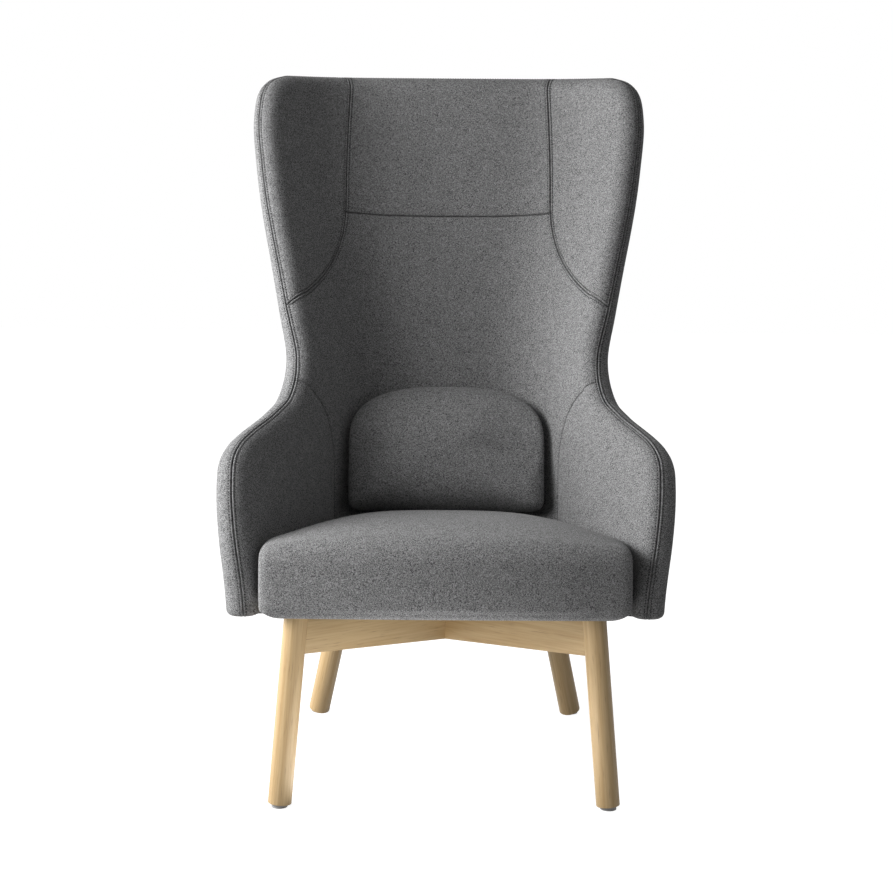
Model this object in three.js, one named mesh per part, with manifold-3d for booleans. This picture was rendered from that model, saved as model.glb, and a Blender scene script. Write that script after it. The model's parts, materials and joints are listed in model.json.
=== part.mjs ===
import * as THREE from 'three';
import { mergeVertices } from 'three/addons/utils/BufferGeometryUtils.js';
import Module from 'manifold-3d';

// High-back lounge chair: a felted shell whose wall turns forward into head wings and arms,
// an upholstered seat fixed between the arms, a loose lumbar pillow and an oak base of four
// round legs joined by two half-lapped cross beams.
// Millimetres. x runs across, y to the back, z up, and the chair faces -y.

const wasm = await Module();
wasm.setup();

// Shell wall
const shellThickness = 52;
const shellTop = 1162;
const backDepth = 335;
const recline = 15;
const uprightHeight = 500;
const uprightRun = 230;

// Rim of the shell, seen from the side: from the arm's lower front corner to the wing's top
const armFront = 298;
const armFootHeight = 300;
const rimDepth = 532;

// Plan of the wall: how far it turns forward, and where along it the corner lies
const armPlanHeight = 280;
const waistPlanHeight = 620;
const wingPlanHeight = 1100;
const armPlanAngle = 73.2;
const waistPlanAngle = 66.5;
const wingPlanAngle = 53;
const armCorner = 178;
const waistCorner = 156;
const wingCorner = 209;
const armSpread = 117;
const waistSpread = 124;
const wingSpread = 117;

// Shell build-up
const coverThickness = 2.5;
const shellBoardThickness = 12;
const seamWidth = 0.8;

// Base plane: the seat and the shell's bottom tilt back
const seatTilt = 5;
const liningThickness = 1.2;
const baseBoardThickness = 13;
const boardFrontSetback = 6;
const boardOverhang = 9;

// Seat
const seatReach = 86;
const seatHalfWidth = 292;
const seatEdgeHeight = 118;
const seatCrown = 35;
const seatFrontBulge = 7;
const seatTopRadius = 30;
const seatFootRadius = 12;
const seatGap = 8;
const panThickness = 12;
const panSetback = 8;

// Lumbar pillow
const pillowWidth = 345;
const pillowHeight = 226;
const pillowFrontDepth = 72;
const pillowBackDepth = 36;
const pillowLean = 14;
const pillowEase = 2.6;
const zipLength = 120;
const zipWidth = 6;

// Base
const legDiameter = 38;
const legRounding = 3;
const frontLegInset = 55.91;
const rearTopHalfWidth = 177.5;
const frontLegReach = 35.27;
const rearLegSetback = 40.21;
const frontAcrossAngle = 5;
const frontAlongAngle = 3.4;
const rearAcrossAngle = 12;
const rearAlongAngle = 14;
const glideDiameter = 26;
const glideHeight = 5.5;
const glideStemDiameter = 6;
const glideStemLength = 18;
const beamThickness = 26;
const beamEndDepth = 55;
const beamMiddleDepth = 71;
const tenonThickness = 10;
const tenonTop = 18;
const tenonFoot = 44;
const tenonWall = 6;

// Fasteners
const boltDiameter = 8;
const boltHeadDiameter = 16;
const boltHeadHeight = 4;
const boltReach = 40;
const screwDiameter = 4.5;
const screwHeadDiameter = 9;
const screwHeadHeight = 3;
const beamScrewGrip = 30;
const screwBite = 22;
const panScrewHalfWidth = 150;
const panScrewFront = 205;
const panScrewRear = 5;

// Fits: touching pieces keep this much air, and cutters run past by the overrun
const clearance = 0.3;
const overrun = 30;
const weld = 0.0005;

// Rim seen from the side, as shares of its depth and height
const rimDepthShares = [0, 0.0192, 0.0806, 0.1573, 0.3828, 0.5042, 0.6042, 0.657, 0.7506, 0.8489,
  0.8993, 0.9387, 1];
const rimHeightShares = [0, 0.137, 0.241, 0.2908, 0.3283, 0.362, 0.4418, 0.5446, 0.6849, 0.8365,
  0.9338, 0.9855, 1];
// Steps that each stretch of the rim gets, fine and coarse
const fineSteps = [1, 2, 2, 1, 1, 1, 1, 1, 1, 1, 2, 1];
const coarseSteps = [1, 0, 1, 0, 1, 1, 1, 0, 1, 1, 0, 1];
const fineColumns = 8;
const coarseColumns = 6;
const rimFacets = 5;

const halfWall = shellThickness / 2;
const wallTop = shellTop - halfWall;
const rimHeight = wallTop - armFootHeight;
const baseBoardFront = armFront - boardFrontSetback;
const seatFront = armFront + seatReach;
const tilt = THREE.MathUtils.degToRad(seatTilt);
const up = new THREE.Vector3(0, 0, 1);

const liningLevel = 0;
const boardLevel = liningLevel + liningThickness + clearance;
const boardTopLevel = boardLevel + baseBoardThickness;
const seatLevel = boardTopLevel + clearance;
const panLevel = seatLevel + liningThickness + clearance;
const panTopLevel = panLevel + panThickness;
const seatFoamLevel = panTopLevel + clearance;
const seatEdgeLevel = seatEdgeHeight;

const oak = { color: 0xc9a877, roughness: 0.6, metalness: 0 };
const plywood = { color: 0xc8b08a, roughness: 0.75, metalness: 0 };
const wool = { color: 0x7a7a7a, roughness: 0.95, metalness: 0 };
const woolDark = { color: 0x6f6f6f, roughness: 0.95, metalness: 0 };
const woolLight = { color: 0x858585, roughness: 0.95, metalness: 0 };
const foam = { color: 0xd9d4c2, roughness: 0.9, metalness: 0 };
const lining = { color: 0x1b1b1c, roughness: 0.9, metalness: 0 };
const steel = { color: 0xb4b7ba, roughness: 0.35, metalness: 1 };
const glidePlastic = { color: 0xc6c8c9, roughness: 0.5, metalness: 0 };
const zipPlastic = { color: 0x5f5f60, roughness: 0.7, metalness: 0 };

// Solids

function solidOf(positions, indices) {
  let volume = 0;
  const a = new THREE.Vector3();
  const b = new THREE.Vector3();
  const c = new THREE.Vector3();
  for (let i = 0; i < indices.length; i += 3) {
    a.fromArray(positions, 3 * indices[i]);
    b.fromArray(positions, 3 * indices[i + 1]);
    c.fromArray(positions, 3 * indices[i + 2]);
    volume += a.dot(b.cross(c));
  }
  const turned = Uint32Array.from(indices);
  if (volume < 0) {
    for (let i = 0; i < turned.length; i += 3) {
      [turned[i + 1], turned[i + 2]] = [turned[i + 2], turned[i + 1]];
    }
  }
  return new wasm.Manifold(new wasm.Mesh({
    numProp: 3, vertProperties: Float32Array.from(positions), triVerts: turned,
  }));
}

function solidFrom(geometry, matrix) {
  const bare = geometry.clone();
  bare.deleteAttribute('normal');
  bare.deleteAttribute('uv');
  if (matrix) {
    bare.applyMatrix4(matrix);
  }
  const welded = mergeVertices(bare, weld);
  const corners = welded.index.array;
  const kept = [];
  for (let i = 0; i < corners.length; i += 3) {
    const [p, q, r] = [corners[i], corners[i + 1], corners[i + 2]];
    if (p !== q && q !== r && r !== p) {
      kept.push(p, q, r);
    }
  }
  return solidOf(Array.from(welded.attributes.position.array), kept);
}

function geometryOf(solid, matrix) {
  const mesh = solid.getMesh();
  const geometry = new THREE.BufferGeometry();
  geometry.setAttribute('position', new THREE.BufferAttribute(mesh.vertProperties.slice(), 3));
  geometry.setIndex(new THREE.BufferAttribute(mesh.triVerts.slice(), 1));
  geometry.applyMatrix4(matrix);
  geometry.computeVertexNormals();
  return geometry;
}

function middleOf(solid) {
  const box = solid.boundingBox();
  return new THREE.Vector3(
    (box.min[0] + box.max[0]) / 2, (box.min[1] + box.max[1]) / 2, (box.min[2] + box.max[2]) / 2,
  );
}

// The pieces that a cut leaves, without crumbs, from low to high along one axis
function piecesOf(solid, axis, count) {
  const pieces = solid.decompose().sort((one, other) => other.volume() - one.volume());
  return pieces.slice(0, count).sort((one, other) => middleOf(one)[axis] - middleOf(other)[axis]);
}

// Frame of the tilted base plane, whose z is zero on the shell's bottom

function basePlaneHeight(y) {
  return armFootHeight - Math.tan(tilt) * (y + armFront);
}

const baseMatrix = new THREE.Matrix4()
  .makeRotationX(-tilt)
  .setPosition(0, 0, basePlaneHeight(0));
const baseInverse = baseMatrix.clone().invert();

function onBase(x, y, level) {
  return new THREE.Vector3(x, y, level).applyMatrix4(baseMatrix);
}

// A wide slab between two levels of the tilted frame
function tiltedSlab(low, high) {
  const wide = 2 * shellTop;
  const slab = new THREE.BoxGeometry(wide, wide, high - low);
  slab.translate(0, 0, (low + high) / 2);
  return solidFrom(slab, baseMatrix);
}

function belowLevel(level) {
  return tiltedSlab(level - shellTop, level);
}

function aboveLevel(level) {
  return tiltedSlab(level, level + shellTop);
}

// Wall of the shell: a place on it is a length along its plan curve and a height

const planRows = [
  { height: armPlanHeight, turn: armPlanAngle, corner: armCorner, spread: armSpread },
  { height: waistPlanHeight, turn: waistPlanAngle, corner: waistCorner, spread: waistSpread },
  { height: wingPlanHeight, turn: wingPlanAngle, corner: wingCorner, spread: wingSpread },
];
const planSteps = 48;
const probeShare = 0.04;
const probe = probeShare * halfWall;

const halvings = 30;
const settleSteps = 8;

function planValue(height, key) {
  let value = planRows[0][key];
  for (let k = 0; k + 1 < planRows.length; k += 1) {
    const [low, high] = [planRows[k], planRows[k + 1]];
    const share = THREE.MathUtils.smoothstep(height, low.height, high.height);
    value += (high[key] - low[key]) * share;
  }
  return value;
}

// The back leans by the recline and comes upright near the seat
function backLine(height) {
  const lean = Math.tan(THREE.MathUtils.degToRad(recline));
  const under = Math.max(uprightHeight - height, 0);
  return backDepth - lean * (wallTop - height) + lean * under * under / (2 * uprightRun);
}

function wallPoint(along, height) {
  const turn = THREE.MathUtils.degToRad(planValue(height, 'turn'));
  const corner = planValue(height, 'corner');
  const spread = planValue(height, 'spread');
  const step = Math.abs(along) / planSteps;
  let across = 0;
  let forward = 0;
  for (let k = 0; k < planSteps; k += 1) {
    const reached = (k + 0.5) * step;
    const heading = turn * THREE.MathUtils.smoothstep(reached, corner - spread, corner + spread);
    across += Math.cos(heading) * step;
    forward += Math.sin(heading) * step;
  }
  return new THREE.Vector3(Math.sign(along) * across, backLine(height) - forward, height);
}

// Unit normal of the wall, towards the sitter
function wallNormal(along, height) {
  const side = wallPoint(along + probe, height).sub(wallPoint(along - probe, height));
  const rise = wallPoint(along, height + probe).sub(wallPoint(along, height - probe));
  return side.cross(rise).normalize();
}

function wallPlace(along, height) {
  return { point: wallPoint(along, height), normal: wallNormal(along, height) };
}

function innerFace(along, height) {
  const place = wallPlace(along, height);
  return place.point.addScaledVector(place.normal, halfWall);
}

// How far along the wall a forward place lies
function alongAt(depth, height, offset) {
  let near = 0;
  let far = 2 * rimDepth;
  for (let k = 0; k < halvings; k += 1) {
    const middle = (near + far) / 2;
    const point = wallPoint(middle, height);
    if (offset) {
      point.addScaledVector(wallNormal(middle, height), offset);
    }
    if (point.y > depth) {
      near = middle;
    } else {
      far = middle;
    }
  }
  return (near + far) / 2;
}

// Rim as a Catmull-Rom curve through the shares, with the steps of each stretch
function rimPlaces(steps) {
  const knots = rimDepthShares.map((share, k) => new THREE.Vector2(
    share * rimDepth - armFront, rimHeightShares[k] * rimHeight + armFootHeight,
  ));
  const curve = new THREE.SplineCurve(knots);
  const places = [];
  steps.forEach((count, k) => {
    for (let j = 0; j < count; j += 1) {
      places.push(curve.getPoint((k + j / count) / steps.length));
    }
  });
  places.push(knots[knots.length - 1].clone());
  let length = 0;
  const lengths = places.map((place, k) => {
    length += k > 0 ? place.distanceTo(places[k - 1]) : 0;
    return length;
  });
  return places.map((place, k) => ({
    depth: place.x, height: place.y, share: lengths[k] / length,
    along: alongAt(place.x, place.y, 0),
  }));
}

// How far along the wall the rim lies at a height
function rimAlongAt(height) {
  const places = rimPlaces(fineSteps);
  const k = Math.max(places.findIndex((place) => place.height > height), 1);
  const [low, high] = [places[k - 1], places[k]];
  const share = (height - low.height) / (high.height - low.height);
  return low.along + share * (high.along - low.along);
}

// Height at which the base plane meets the wall
function footHeight(along) {
  let height = armFootHeight;
  for (let k = 0; k < settleSteps; k += 1) {
    height = basePlaneHeight(wallPoint(along, height).y);
  }
  return height;
}

// Grid of the wall's middle surface, from an overrun under the base plane to the top
function wallGrid(steps, halfColumns) {
  const rim = rimPlaces(steps);
  const rows = rim.map(() => []);
  const skirt = [];
  for (let i = -halfColumns; i <= halfColumns; i += 1) {
    const share = i / halfColumns;
    const foot = footHeight(share * rim[0].along);
    const middleFoot = footHeight(0);
    const blend = (foot - middleFoot) / (footHeight(rim[0].along) - middleFoot);
    rim.forEach((place, j) => {
      const middleRise = place.share * (wallTop - middleFoot);
      const rimRise = place.height - armFootHeight;
      const height = foot + middleRise * (1 - blend) + rimRise * blend;
      rows[j].push(wallPlace(share * place.along, height));
    });
    skirt.push(wallPlace(share * rim[0].along, foot - overrun));
  }
  rows.unshift(skirt);
  return rows;
}

// Outward directions along the wall's border: up one side, over the top and down the other
function borderOf(rows) {
  const last = rows[0].length - 1;
  const border = [];
  rows.forEach((row, j) => border.push({ j, i: last, place: row[last] }));
  for (let i = last - 1; i >= 0; i -= 1) {
    border.push({ j: rows.length - 1, i, place: rows[rows.length - 1][i] });
  }
  for (let j = rows.length - 2; j >= 0; j -= 1) {
    border.push({ j, i: 0, place: rows[j][0] });
  }
  border.forEach((station, k) => {
    const before = border[Math.max(k - 1, 0)].place.point;
    const after = border[Math.min(k + 1, border.length - 1)].place.point;
    const run = after.clone().sub(before);
    station.outward = run.cross(station.place.normal).normalize();
  });
  return border;
}

// Direction round the rim's half circle: from the sitter's side over the edge to the outside
function roundTheRim(station, degrees) {
  const angle = THREE.MathUtils.degToRad(degrees);
  return station.outward.clone().multiplyScalar(Math.cos(angle))
    .addScaledVector(station.place.normal, -Math.sin(angle));
}

// The wall as a closed solid of the given half thickness, with a full-round rim
function wallSolid(rows, half, rimSteps) {
  const positions = [];
  const indices = [];
  const add = (point) => positions.push(point.x, point.y, point.z) / 3 - 1;
  const face = (...corners) => {
    for (let k = 1; k + 1 < corners.length; k += 1) {
      indices.push(corners[0], corners[k], corners[k + 1]);
    }
  };
  const layer = (offset) => rows.map((row) => row.map(
    (place) => add(place.point.clone().addScaledVector(place.normal, offset)),
  ));
  const inner = layer(half);
  const outer = layer(-half);
  const last = rows[0].length - 1;
  for (let j = 0; j + 1 < rows.length; j += 1) {
    for (let i = 0; i < last; i += 1) {
      face(inner[j][i], inner[j][i + 1], inner[j + 1][i + 1], inner[j + 1][i]);
      face(outer[j][i + 1], outer[j][i], outer[j + 1][i], outer[j + 1][i + 1]);
    }
  }
  const border = borderOf(rows);
  const rings = border.map((station) => {
    const ring = [inner[station.j][station.i]];
    for (let k = 1; k < rimSteps; k += 1) {
      const degrees = 180 * k / rimSteps - 90;
      const direction = roundTheRim(station, degrees);
      ring.push(add(station.place.point.clone().addScaledVector(direction, half)));
    }
    ring.push(outer[station.j][station.i]);
    return ring;
  });
  for (let k = 0; k + 1 < rings.length; k += 1) {
    for (let m = 0; m < rimSteps; m += 1) {
      face(rings[k][m], rings[k][m + 1], rings[k + 1][m + 1], rings[k + 1][m]);
    }
  }
  for (let i = 0; i < last; i += 1) {
    face(inner[0][i], outer[0][i], outer[0][i + 1], inner[0][i + 1]);
  }
  face(...rings[0].slice().reverse());
  face(...rings[rings.length - 1]);
  return solidOf(positions, indices);
}

// A thin blade that parts a cover along a seam
function seamBlade(stations, low, high) {
  const positions = [];
  const indices = [];
  stations.forEach(({ point, reach, side }, k) => {
    [[low, -1], [high, -1], [high, 1], [low, 1]].forEach(([distance, way]) => {
      const corner = point.clone().addScaledVector(reach, distance)
        .addScaledVector(side, way * seamWidth / 2);
      positions.push(corner.x, corner.y, corner.z);
    });
    if (k > 0) {
      for (let m = 0; m < 4; m += 1) {
        const [here, next] = [4 * k + m, 4 * k + (m + 1) % 4];
        // The two sides are parted along the same diagonals, so a twisted blade keeps its width
        if (m < 2) {
          indices.push(here - 4, next - 4, next, here - 4, next, here);
        } else {
          indices.push(here - 4, next - 4, here, next - 4, next, here);
        }
      }
    }
  });
  const end = 4 * (stations.length - 1);
  indices.push(0, 2, 1, 0, 3, 2, end, end + 1, end + 2, end, end + 2, end + 3);
  return solidOf(positions, indices);
}

// Stations of a seam on the wall, from places along it and heights
function wallStations(places) {
  const stations = places.map(({ x, y }) => {
    const place = wallPlace(x, y);
    return { point: place.point, reach: place.normal };
  });
  stations.forEach((station, k) => {
    const before = stations[Math.max(k - 1, 0)].point;
    const after = stations[Math.min(k + 1, stations.length - 1)].point;
    const run = after.clone().sub(before);
    station.side = run.cross(station.reach).normalize();
  });
  return stations;
}

const bladeSpare = 3;
// Blades across the wall, from well outside it to well inside
const innerBlade = [-halfWall, shellThickness];
const outerBlade = [-shellThickness, halfWall];

// Round solids

function lathe(profile, sides, matrix) {
  const points = profile.map(([radius, height]) => new THREE.Vector2(radius, height));
  const geometry = new THREE.LatheGeometry(points, sides);
  geometry.rotateX(Math.PI / 2);
  return solidFrom(geometry, matrix);
}

// A screw or bolt along +z from under its head, whose head lies below zero
function screwSolid(shank, head, headHeight, length, sides, matrix) {
  const tip = shank / 2;
  return lathe([
    [0, -headHeight], [head / 2, -headHeight], [head / 2, 0], [shank / 2, 0],
    [shank / 2, length - tip], [0, length],
  ], sides, matrix);
}

function holeSolid(diameter, low, high, sides, matrix) {
  return lathe([[0, low], [diameter / 2, low], [diameter / 2, high], [0, high]], sides, matrix);
}

function frameAt(point, direction) {
  const turn = new THREE.Quaternion().setFromUnitVectors(up, direction.clone().normalize());
  return new THREE.Matrix4().compose(point, turn, new THREE.Vector3(1, 1, 1));
}

// Straight up from a place on the tilted frame
function uprightFrame(x, y) {
  return baseMatrix.clone().multiply(new THREE.Matrix4().makeTranslation(x, y, 0));
}

const boltSides = 8;
const screwSides = 6;
const legSides = 18;
const glideSides = 16;
const legRoundSteps = 3;
const slack = 2 * clearance;

// Legs, which hang from a place on the base plane and splay down to the floor: the front ones
// before the arms and inside the seat's sides, the rear ones before the foot of the back
const frontTopHalfWidth = seatHalfWidth - frontLegInset;
const frontTopDepth = armFront + frontLegReach;
const shellFoot = wallPoint(0, footHeight(0)).applyMatrix4(baseInverse);
const rearTopDepth = shellFoot.y - rearLegSetback;

function legFrame(corner) {
  const depth = corner.front ? -frontTopDepth : rearTopDepth;
  const halfWidth = corner.front ? frontTopHalfWidth : rearTopHalfWidth;
  const across = corner.front ? frontAcrossAngle : rearAcrossAngle;
  const along = corner.front ? frontAlongAngle : rearAlongAngle;
  const lean = (degrees) => Math.tan(THREE.MathUtils.degToRad(degrees));
  const slope = new THREE.Vector3(
    -corner.side * lean(across), corner.front ? lean(along) : -lean(along), 1,
  );
  const foot = onBase(corner.side * halfWidth, depth, liningLevel);
  foot.addScaledVector(slope, -foot.z);
  const direction = slope.normalize();
  return { foot, direction, matrix: frameAt(foot, direction) };
}

// Point of a leg's middle line on a level of the tilted frame
function legPointAt(leg, level) {
  const foot = leg.foot.clone().applyMatrix4(baseInverse);
  const direction = leg.direction.clone().transformDirection(baseInverse);
  return foot.addScaledVector(direction, (level - foot.z) / direction.z);
}

const corners = [
  { name: 'front_left', front: true, side: -1 },
  { name: 'front_right', front: true, side: 1 },
  { name: 'rear_left', front: false, side: -1 },
  { name: 'rear_right', front: false, side: 1 },
];
corners.forEach((corner) => {
  corner.leg = legFrame(corner);
  corner.topLevel = corner.front ? seatLevel - clearance : liningLevel - clearance;
  corner.boardTop = corner.front ? panTopLevel : boardTopLevel;
});

function legCylinder(corner, radius) {
  return holeSolid(2 * radius, glideHeight, legLength(corner) + legDiameter, legSides, corner.leg.matrix);
}

// The bolt runs down a leg's middle line, its head sunk under the board's top
function boltFrame(corner) {
  const sink = boltHeadHeight + boltHeadDiameter / 2 * corner.leg.direction.angleTo(up);
  const point = legPointAt(corner.leg, corner.boardTop - sink).applyMatrix4(baseMatrix);
  return frameAt(point, corner.leg.direction.clone().negate());
}

function legLength(corner) {
  const top = legPointAt(corner.leg, corner.topLevel).applyMatrix4(baseMatrix);
  return top.distanceTo(corner.leg.foot);
}

function boltLength(corner) {
  const head = new THREE.Vector3().setFromMatrixPosition(boltFrame(corner));
  return head.distanceTo(corner.leg.foot) - legLength(corner) + boltReach;
}

function boltHole(corner) {
  const frame = boltFrame(corner);
  const shank = holeSolid(
    boltDiameter + slack, -overrun, boltLength(corner) + clearance, boltSides, frame,
  );
  const head = holeSolid(boltHeadDiameter + slack, -overrun, clearance, boltSides, frame);
  return shank.add(head);
}

function legSolid(corner) {
  const radius = legDiameter / 2;
  const far = glideHeight + legLength(corner) + legDiameter;
  const profile = [[0, glideHeight]];
  for (let k = 0; k <= legRoundSteps; k += 1) {
    const angle = Math.PI / 2 * k / legRoundSteps;
    profile.push([
      radius - legRounding + legRounding * Math.sin(angle),
      glideHeight + legRounding - legRounding * Math.cos(angle),
    ]);
  }
  profile.push([radius, far], [0, far]);
  const stemHole = holeSolid(
    glideStemDiameter + slack, -overrun, glideHeight + glideStemLength + clearance, boltSides,
    corner.leg.matrix,
  );
  return lathe(profile, legSides, corner.leg.matrix)
    .subtract(aboveLevel(corner.topLevel))
    .subtract(stemHole)
    .subtract(boltHole(corner))
    .subtract(tenonSolid(corner, clearance));
}

// A disc under the leg with a stem in it, flat where it stands on the floor
function glideSolid(corner) {
  const radius = glideDiameter / 2;
  const top = glideHeight - clearance;
  const disc = lathe([
    [0, -glideHeight], [radius, -glideHeight], [radius, top], [glideStemDiameter / 2, top],
    [glideStemDiameter / 2, glideHeight + glideStemLength], [0, glideHeight + glideStemLength],
  ], glideSides, corner.leg.matrix);
  const wide = 4 * glideDiameter;
  const floor = new THREE.BoxGeometry(wide, wide, wide);
  const drop = new THREE.Matrix4().makeTranslation(corner.leg.foot.x, corner.leg.foot.y, -wide / 2);
  return disc.subtract(solidFrom(floor, drop));
}

// Cross beams

const beamLevel = liningLevel - clearance;
const beams = [
  { name: 'cross_beam_left', from: corners[0], to: corners[3], keepsLower: false },
  { name: 'cross_beam_right', from: corners[1], to: corners[2], keepsLower: true },
];
beams.forEach((beam) => {
  const middleLevel = beamLevel - beamEndDepth / 2;
  const start = legPointAt(beam.from.leg, middleLevel);
  const end = legPointAt(beam.to.leg, middleLevel);
  const run = end.clone().sub(start).setZ(0);
  beam.length = run.length();
  beam.crossing = -start.x / run.x * beam.length;
  const angle = Math.atan2(run.y, run.x);
  const lay = new THREE.Matrix4().makeRotationZ(angle).setPosition(start.x, start.y, 0);
  beam.matrix = baseMatrix.clone().multiply(lay);
  beam.lay = lay;
});

// A box in a beam's own frame: along it, across it and up
function beamBox(beam, start, end, thickness, low, high) {
  const box = new THREE.BoxGeometry(end - start, thickness, high - low);
  box.translate((start + end) / 2, 0, (low + high) / 2);
  return solidFrom(box, beam.matrix);
}

function tenonSolid(corner, extra) {
  const beam = beams.find((one) => one.from === corner || one.to === corner);
  const near = boltDiameter / 2 + tenonWall - extra;
  const far = legDiameter;
  const [start, end] = beam.from === corner ? [near, far] : [beam.length - far, beam.length - near];
  return beamBox(
    beam, start, end, tenonThickness + 2 * extra,
    beamLevel - tenonFoot - extra, beamLevel - tenonTop + extra,
  );
}

const beamScrewShares = [0.27, 0.76];

function beamScrewPlaces(beam) {
  return beamScrewShares.map((share) => new THREE.Vector3(share * beam.length, 0, 0)
    .applyMatrix4(beam.lay));
}

function screwHole(x, y, low, high) {
  return holeSolid(screwDiameter + slack, low, high, screwSides, uprightFrame(x, y));
}

function beamSolid(beam) {
  const outline = new THREE.Shape();
  const start = legDiameter / 8;
  const end = beam.length - start;
  outline.moveTo(start, beamLevel);
  outline.lineTo(start, beamLevel - beamEndDepth);
  outline.lineTo(beam.crossing, beamLevel - beamMiddleDepth);
  outline.lineTo(end, beamLevel - beamEndDepth);
  outline.lineTo(end, beamLevel);
  outline.closePath();
  const body = new THREE.ExtrudeGeometry(outline, { depth: beamThickness, bevelEnabled: false });
  body.translate(0, 0, -beamThickness / 2);
  body.rotateX(Math.PI / 2);
  let solid = solidFrom(body, beam.matrix);
  [beam.from, beam.to].forEach((corner) => {
    solid = solid.subtract(legCylinder(corner, legDiameter / 2 + clearance))
      .add(tenonSolid(corner, 0));
  });
  const other = beams.find((one) => one !== beam);
  const lapLevel = beamLevel - beamMiddleDepth / 2;
  const [low, high] = beam.keepsLower
    ? [lapLevel - clearance / 2, beamLevel + overrun]
    : [beamLevel - beamMiddleDepth - overrun, lapLevel + clearance / 2];
  const lap = beamBox(
    other, other.crossing - beamMiddleDepth, other.crossing + beamMiddleDepth,
    beamThickness + slack, low, high,
  );
  solid = solid.subtract(lap);
  [...beamScrewPlaces(beam), centreScrewPlace()].forEach(({ x, y }) => {
    const headLevel = beamLevel - beamScrewGrip;
    solid = solid
      .subtract(screwHole(x, y, beamLevel - beamMiddleDepth - overrun, overrun))
      .subtract(holeSolid(
        screwHeadDiameter + slack, beamLevel - beamMiddleDepth - overrun, headLevel + clearance,
        screwSides, uprightFrame(x, y),
      ));
  });
  return piecesOf(solid, 'x', 1)[0];
}

function centreScrewPlace() {
  const beam = beams[0];
  return new THREE.Vector3(beam.crossing, 0, 0).applyMatrix4(beam.lay);
}

// Screws that stand upright in the tilted frame, heads down

function uprightScrew(x, y, headLevel, tipLevel) {
  const frame = uprightFrame(x, y).multiply(new THREE.Matrix4().makeTranslation(0, 0, headLevel));
  return screwSolid(
    screwDiameter, screwHeadDiameter, screwHeadHeight, tipLevel - headLevel, screwSides, frame,
  );
}

const panScrewPlaces = [
  { name: 'front_left', x: -panScrewHalfWidth, y: -panScrewFront },
  { name: 'front_right', x: panScrewHalfWidth, y: -panScrewFront },
  { name: 'rear_left', x: -panScrewHalfWidth, y: -panScrewRear },
  { name: 'rear_right', x: panScrewHalfWidth, y: -panScrewRear },
];
const boardHeadLevel = boardLevel + screwHeadHeight;
const panScrewTip = panTopLevel - screwDiameter / 2;

const shellScrewShares = [
  { name: 'arm_left', share: -5 / coarseColumns },
  { name: 'corner_left', share: -3 / coarseColumns },
  { name: 'back_left', share: -1 / coarseColumns },
  { name: 'back_right', share: 1 / coarseColumns },
  { name: 'corner_right', share: 3 / coarseColumns },
  { name: 'arm_right', share: 5 / coarseColumns },
];
const fineGrid = wallGrid(fineSteps, fineColumns);
const coarseGrid = wallGrid(coarseSteps, coarseColumns);
const armLength = rimPlaces(coarseSteps)[0].along;
const shellScrewTip = boardTopLevel + screwBite;

// A place on the wall's middle line just over the base board, in the tilted frame
function wallFoot(share) {
  const along = share * armLength;
  return wallPoint(along, footHeight(along)).applyMatrix4(baseInverse);
}

const shellScrewPlaces = shellScrewShares.map(({ name, share }) => {
  const place = wallFoot(share);
  return { name, x: place.x, y: place.y };
});

// Base board: a flat board inside the foot of the shell, which carries shell and seat

const boardSteps = 10;

function boardOutline(extra) {
  const offset = shellBoardThickness / 2 + boardOverhang + extra;
  const front = -baseBoardFront - extra;
  const points = [];
  for (let k = -boardSteps; k <= boardSteps; k += 1) {
    const along = k / boardSteps * armLength;
    const place = wallPlace(along, footHeight(along));
    const point = place.point.addScaledVector(place.normal, -offset).applyMatrix4(baseInverse);
    points.push(new THREE.Vector2(point.x, Math.max(point.y, front)));
  }
  return points;
}

function boardSlab(extra, low, high) {
  const slab = new THREE.ExtrudeGeometry(new THREE.Shape(boardOutline(extra)), {
    depth: high - low, bevelEnabled: false,
  });
  slab.translate(0, 0, low);
  return solidFrom(slab, baseMatrix);
}

function baseBoardSolid() {
  let solid = boardSlab(0, boardLevel, boardTopLevel);
  corners.filter((corner) => !corner.front).forEach((corner) => {
    solid = solid.subtract(boltHole(corner));
  });
  beams.flatMap(beamScrewPlaces).concat(centreScrewPlace()).forEach(({ x, y }) => {
    solid = solid.subtract(screwHole(x, y, -overrun, overrun));
  });
  [...panScrewPlaces, ...shellScrewPlaces].forEach(({ x, y }) => {
    const head = holeSolid(
      screwHeadDiameter + slack, -overrun, boardHeadLevel + clearance, screwSides, uprightFrame(x, y),
    );
    solid = solid.subtract(screwHole(x, y, -overrun, overrun)).subtract(head);
  });
  return solid;
}

// Black lining under the shell and the base board
function baseLiningSolid() {
  const wallFootprint = wallSolid(fineGrid, halfWall - coverThickness - clearance, rimFacets);
  let solid = wallFootprint.add(boardSlab(0, -overrun, overrun))
    .intersect(tiltedSlab(liningLevel, liningLevel + liningThickness));
  corners.filter((corner) => !corner.front).forEach((corner) => {
    solid = solid.subtract(boltHole(corner));
  });
  beams.flatMap(beamScrewPlaces).concat(centreScrewPlace()).forEach(({ x, y }) => {
    solid = solid.subtract(screwHole(x, y, -overrun, overrun));
  });
  return solid;
}

// Shell pieces

function shellBoardSolid() {
  let solid = wallSolid(coarseGrid, shellBoardThickness / 2, 2)
    .subtract(belowLevel(boardTopLevel + clearance));
  shellScrewPlaces.forEach(({ x, y }) => {
    solid = solid.subtract(screwHole(x, y, -overrun, shellScrewTip + clearance));
  });
  return solid;
}

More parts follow.
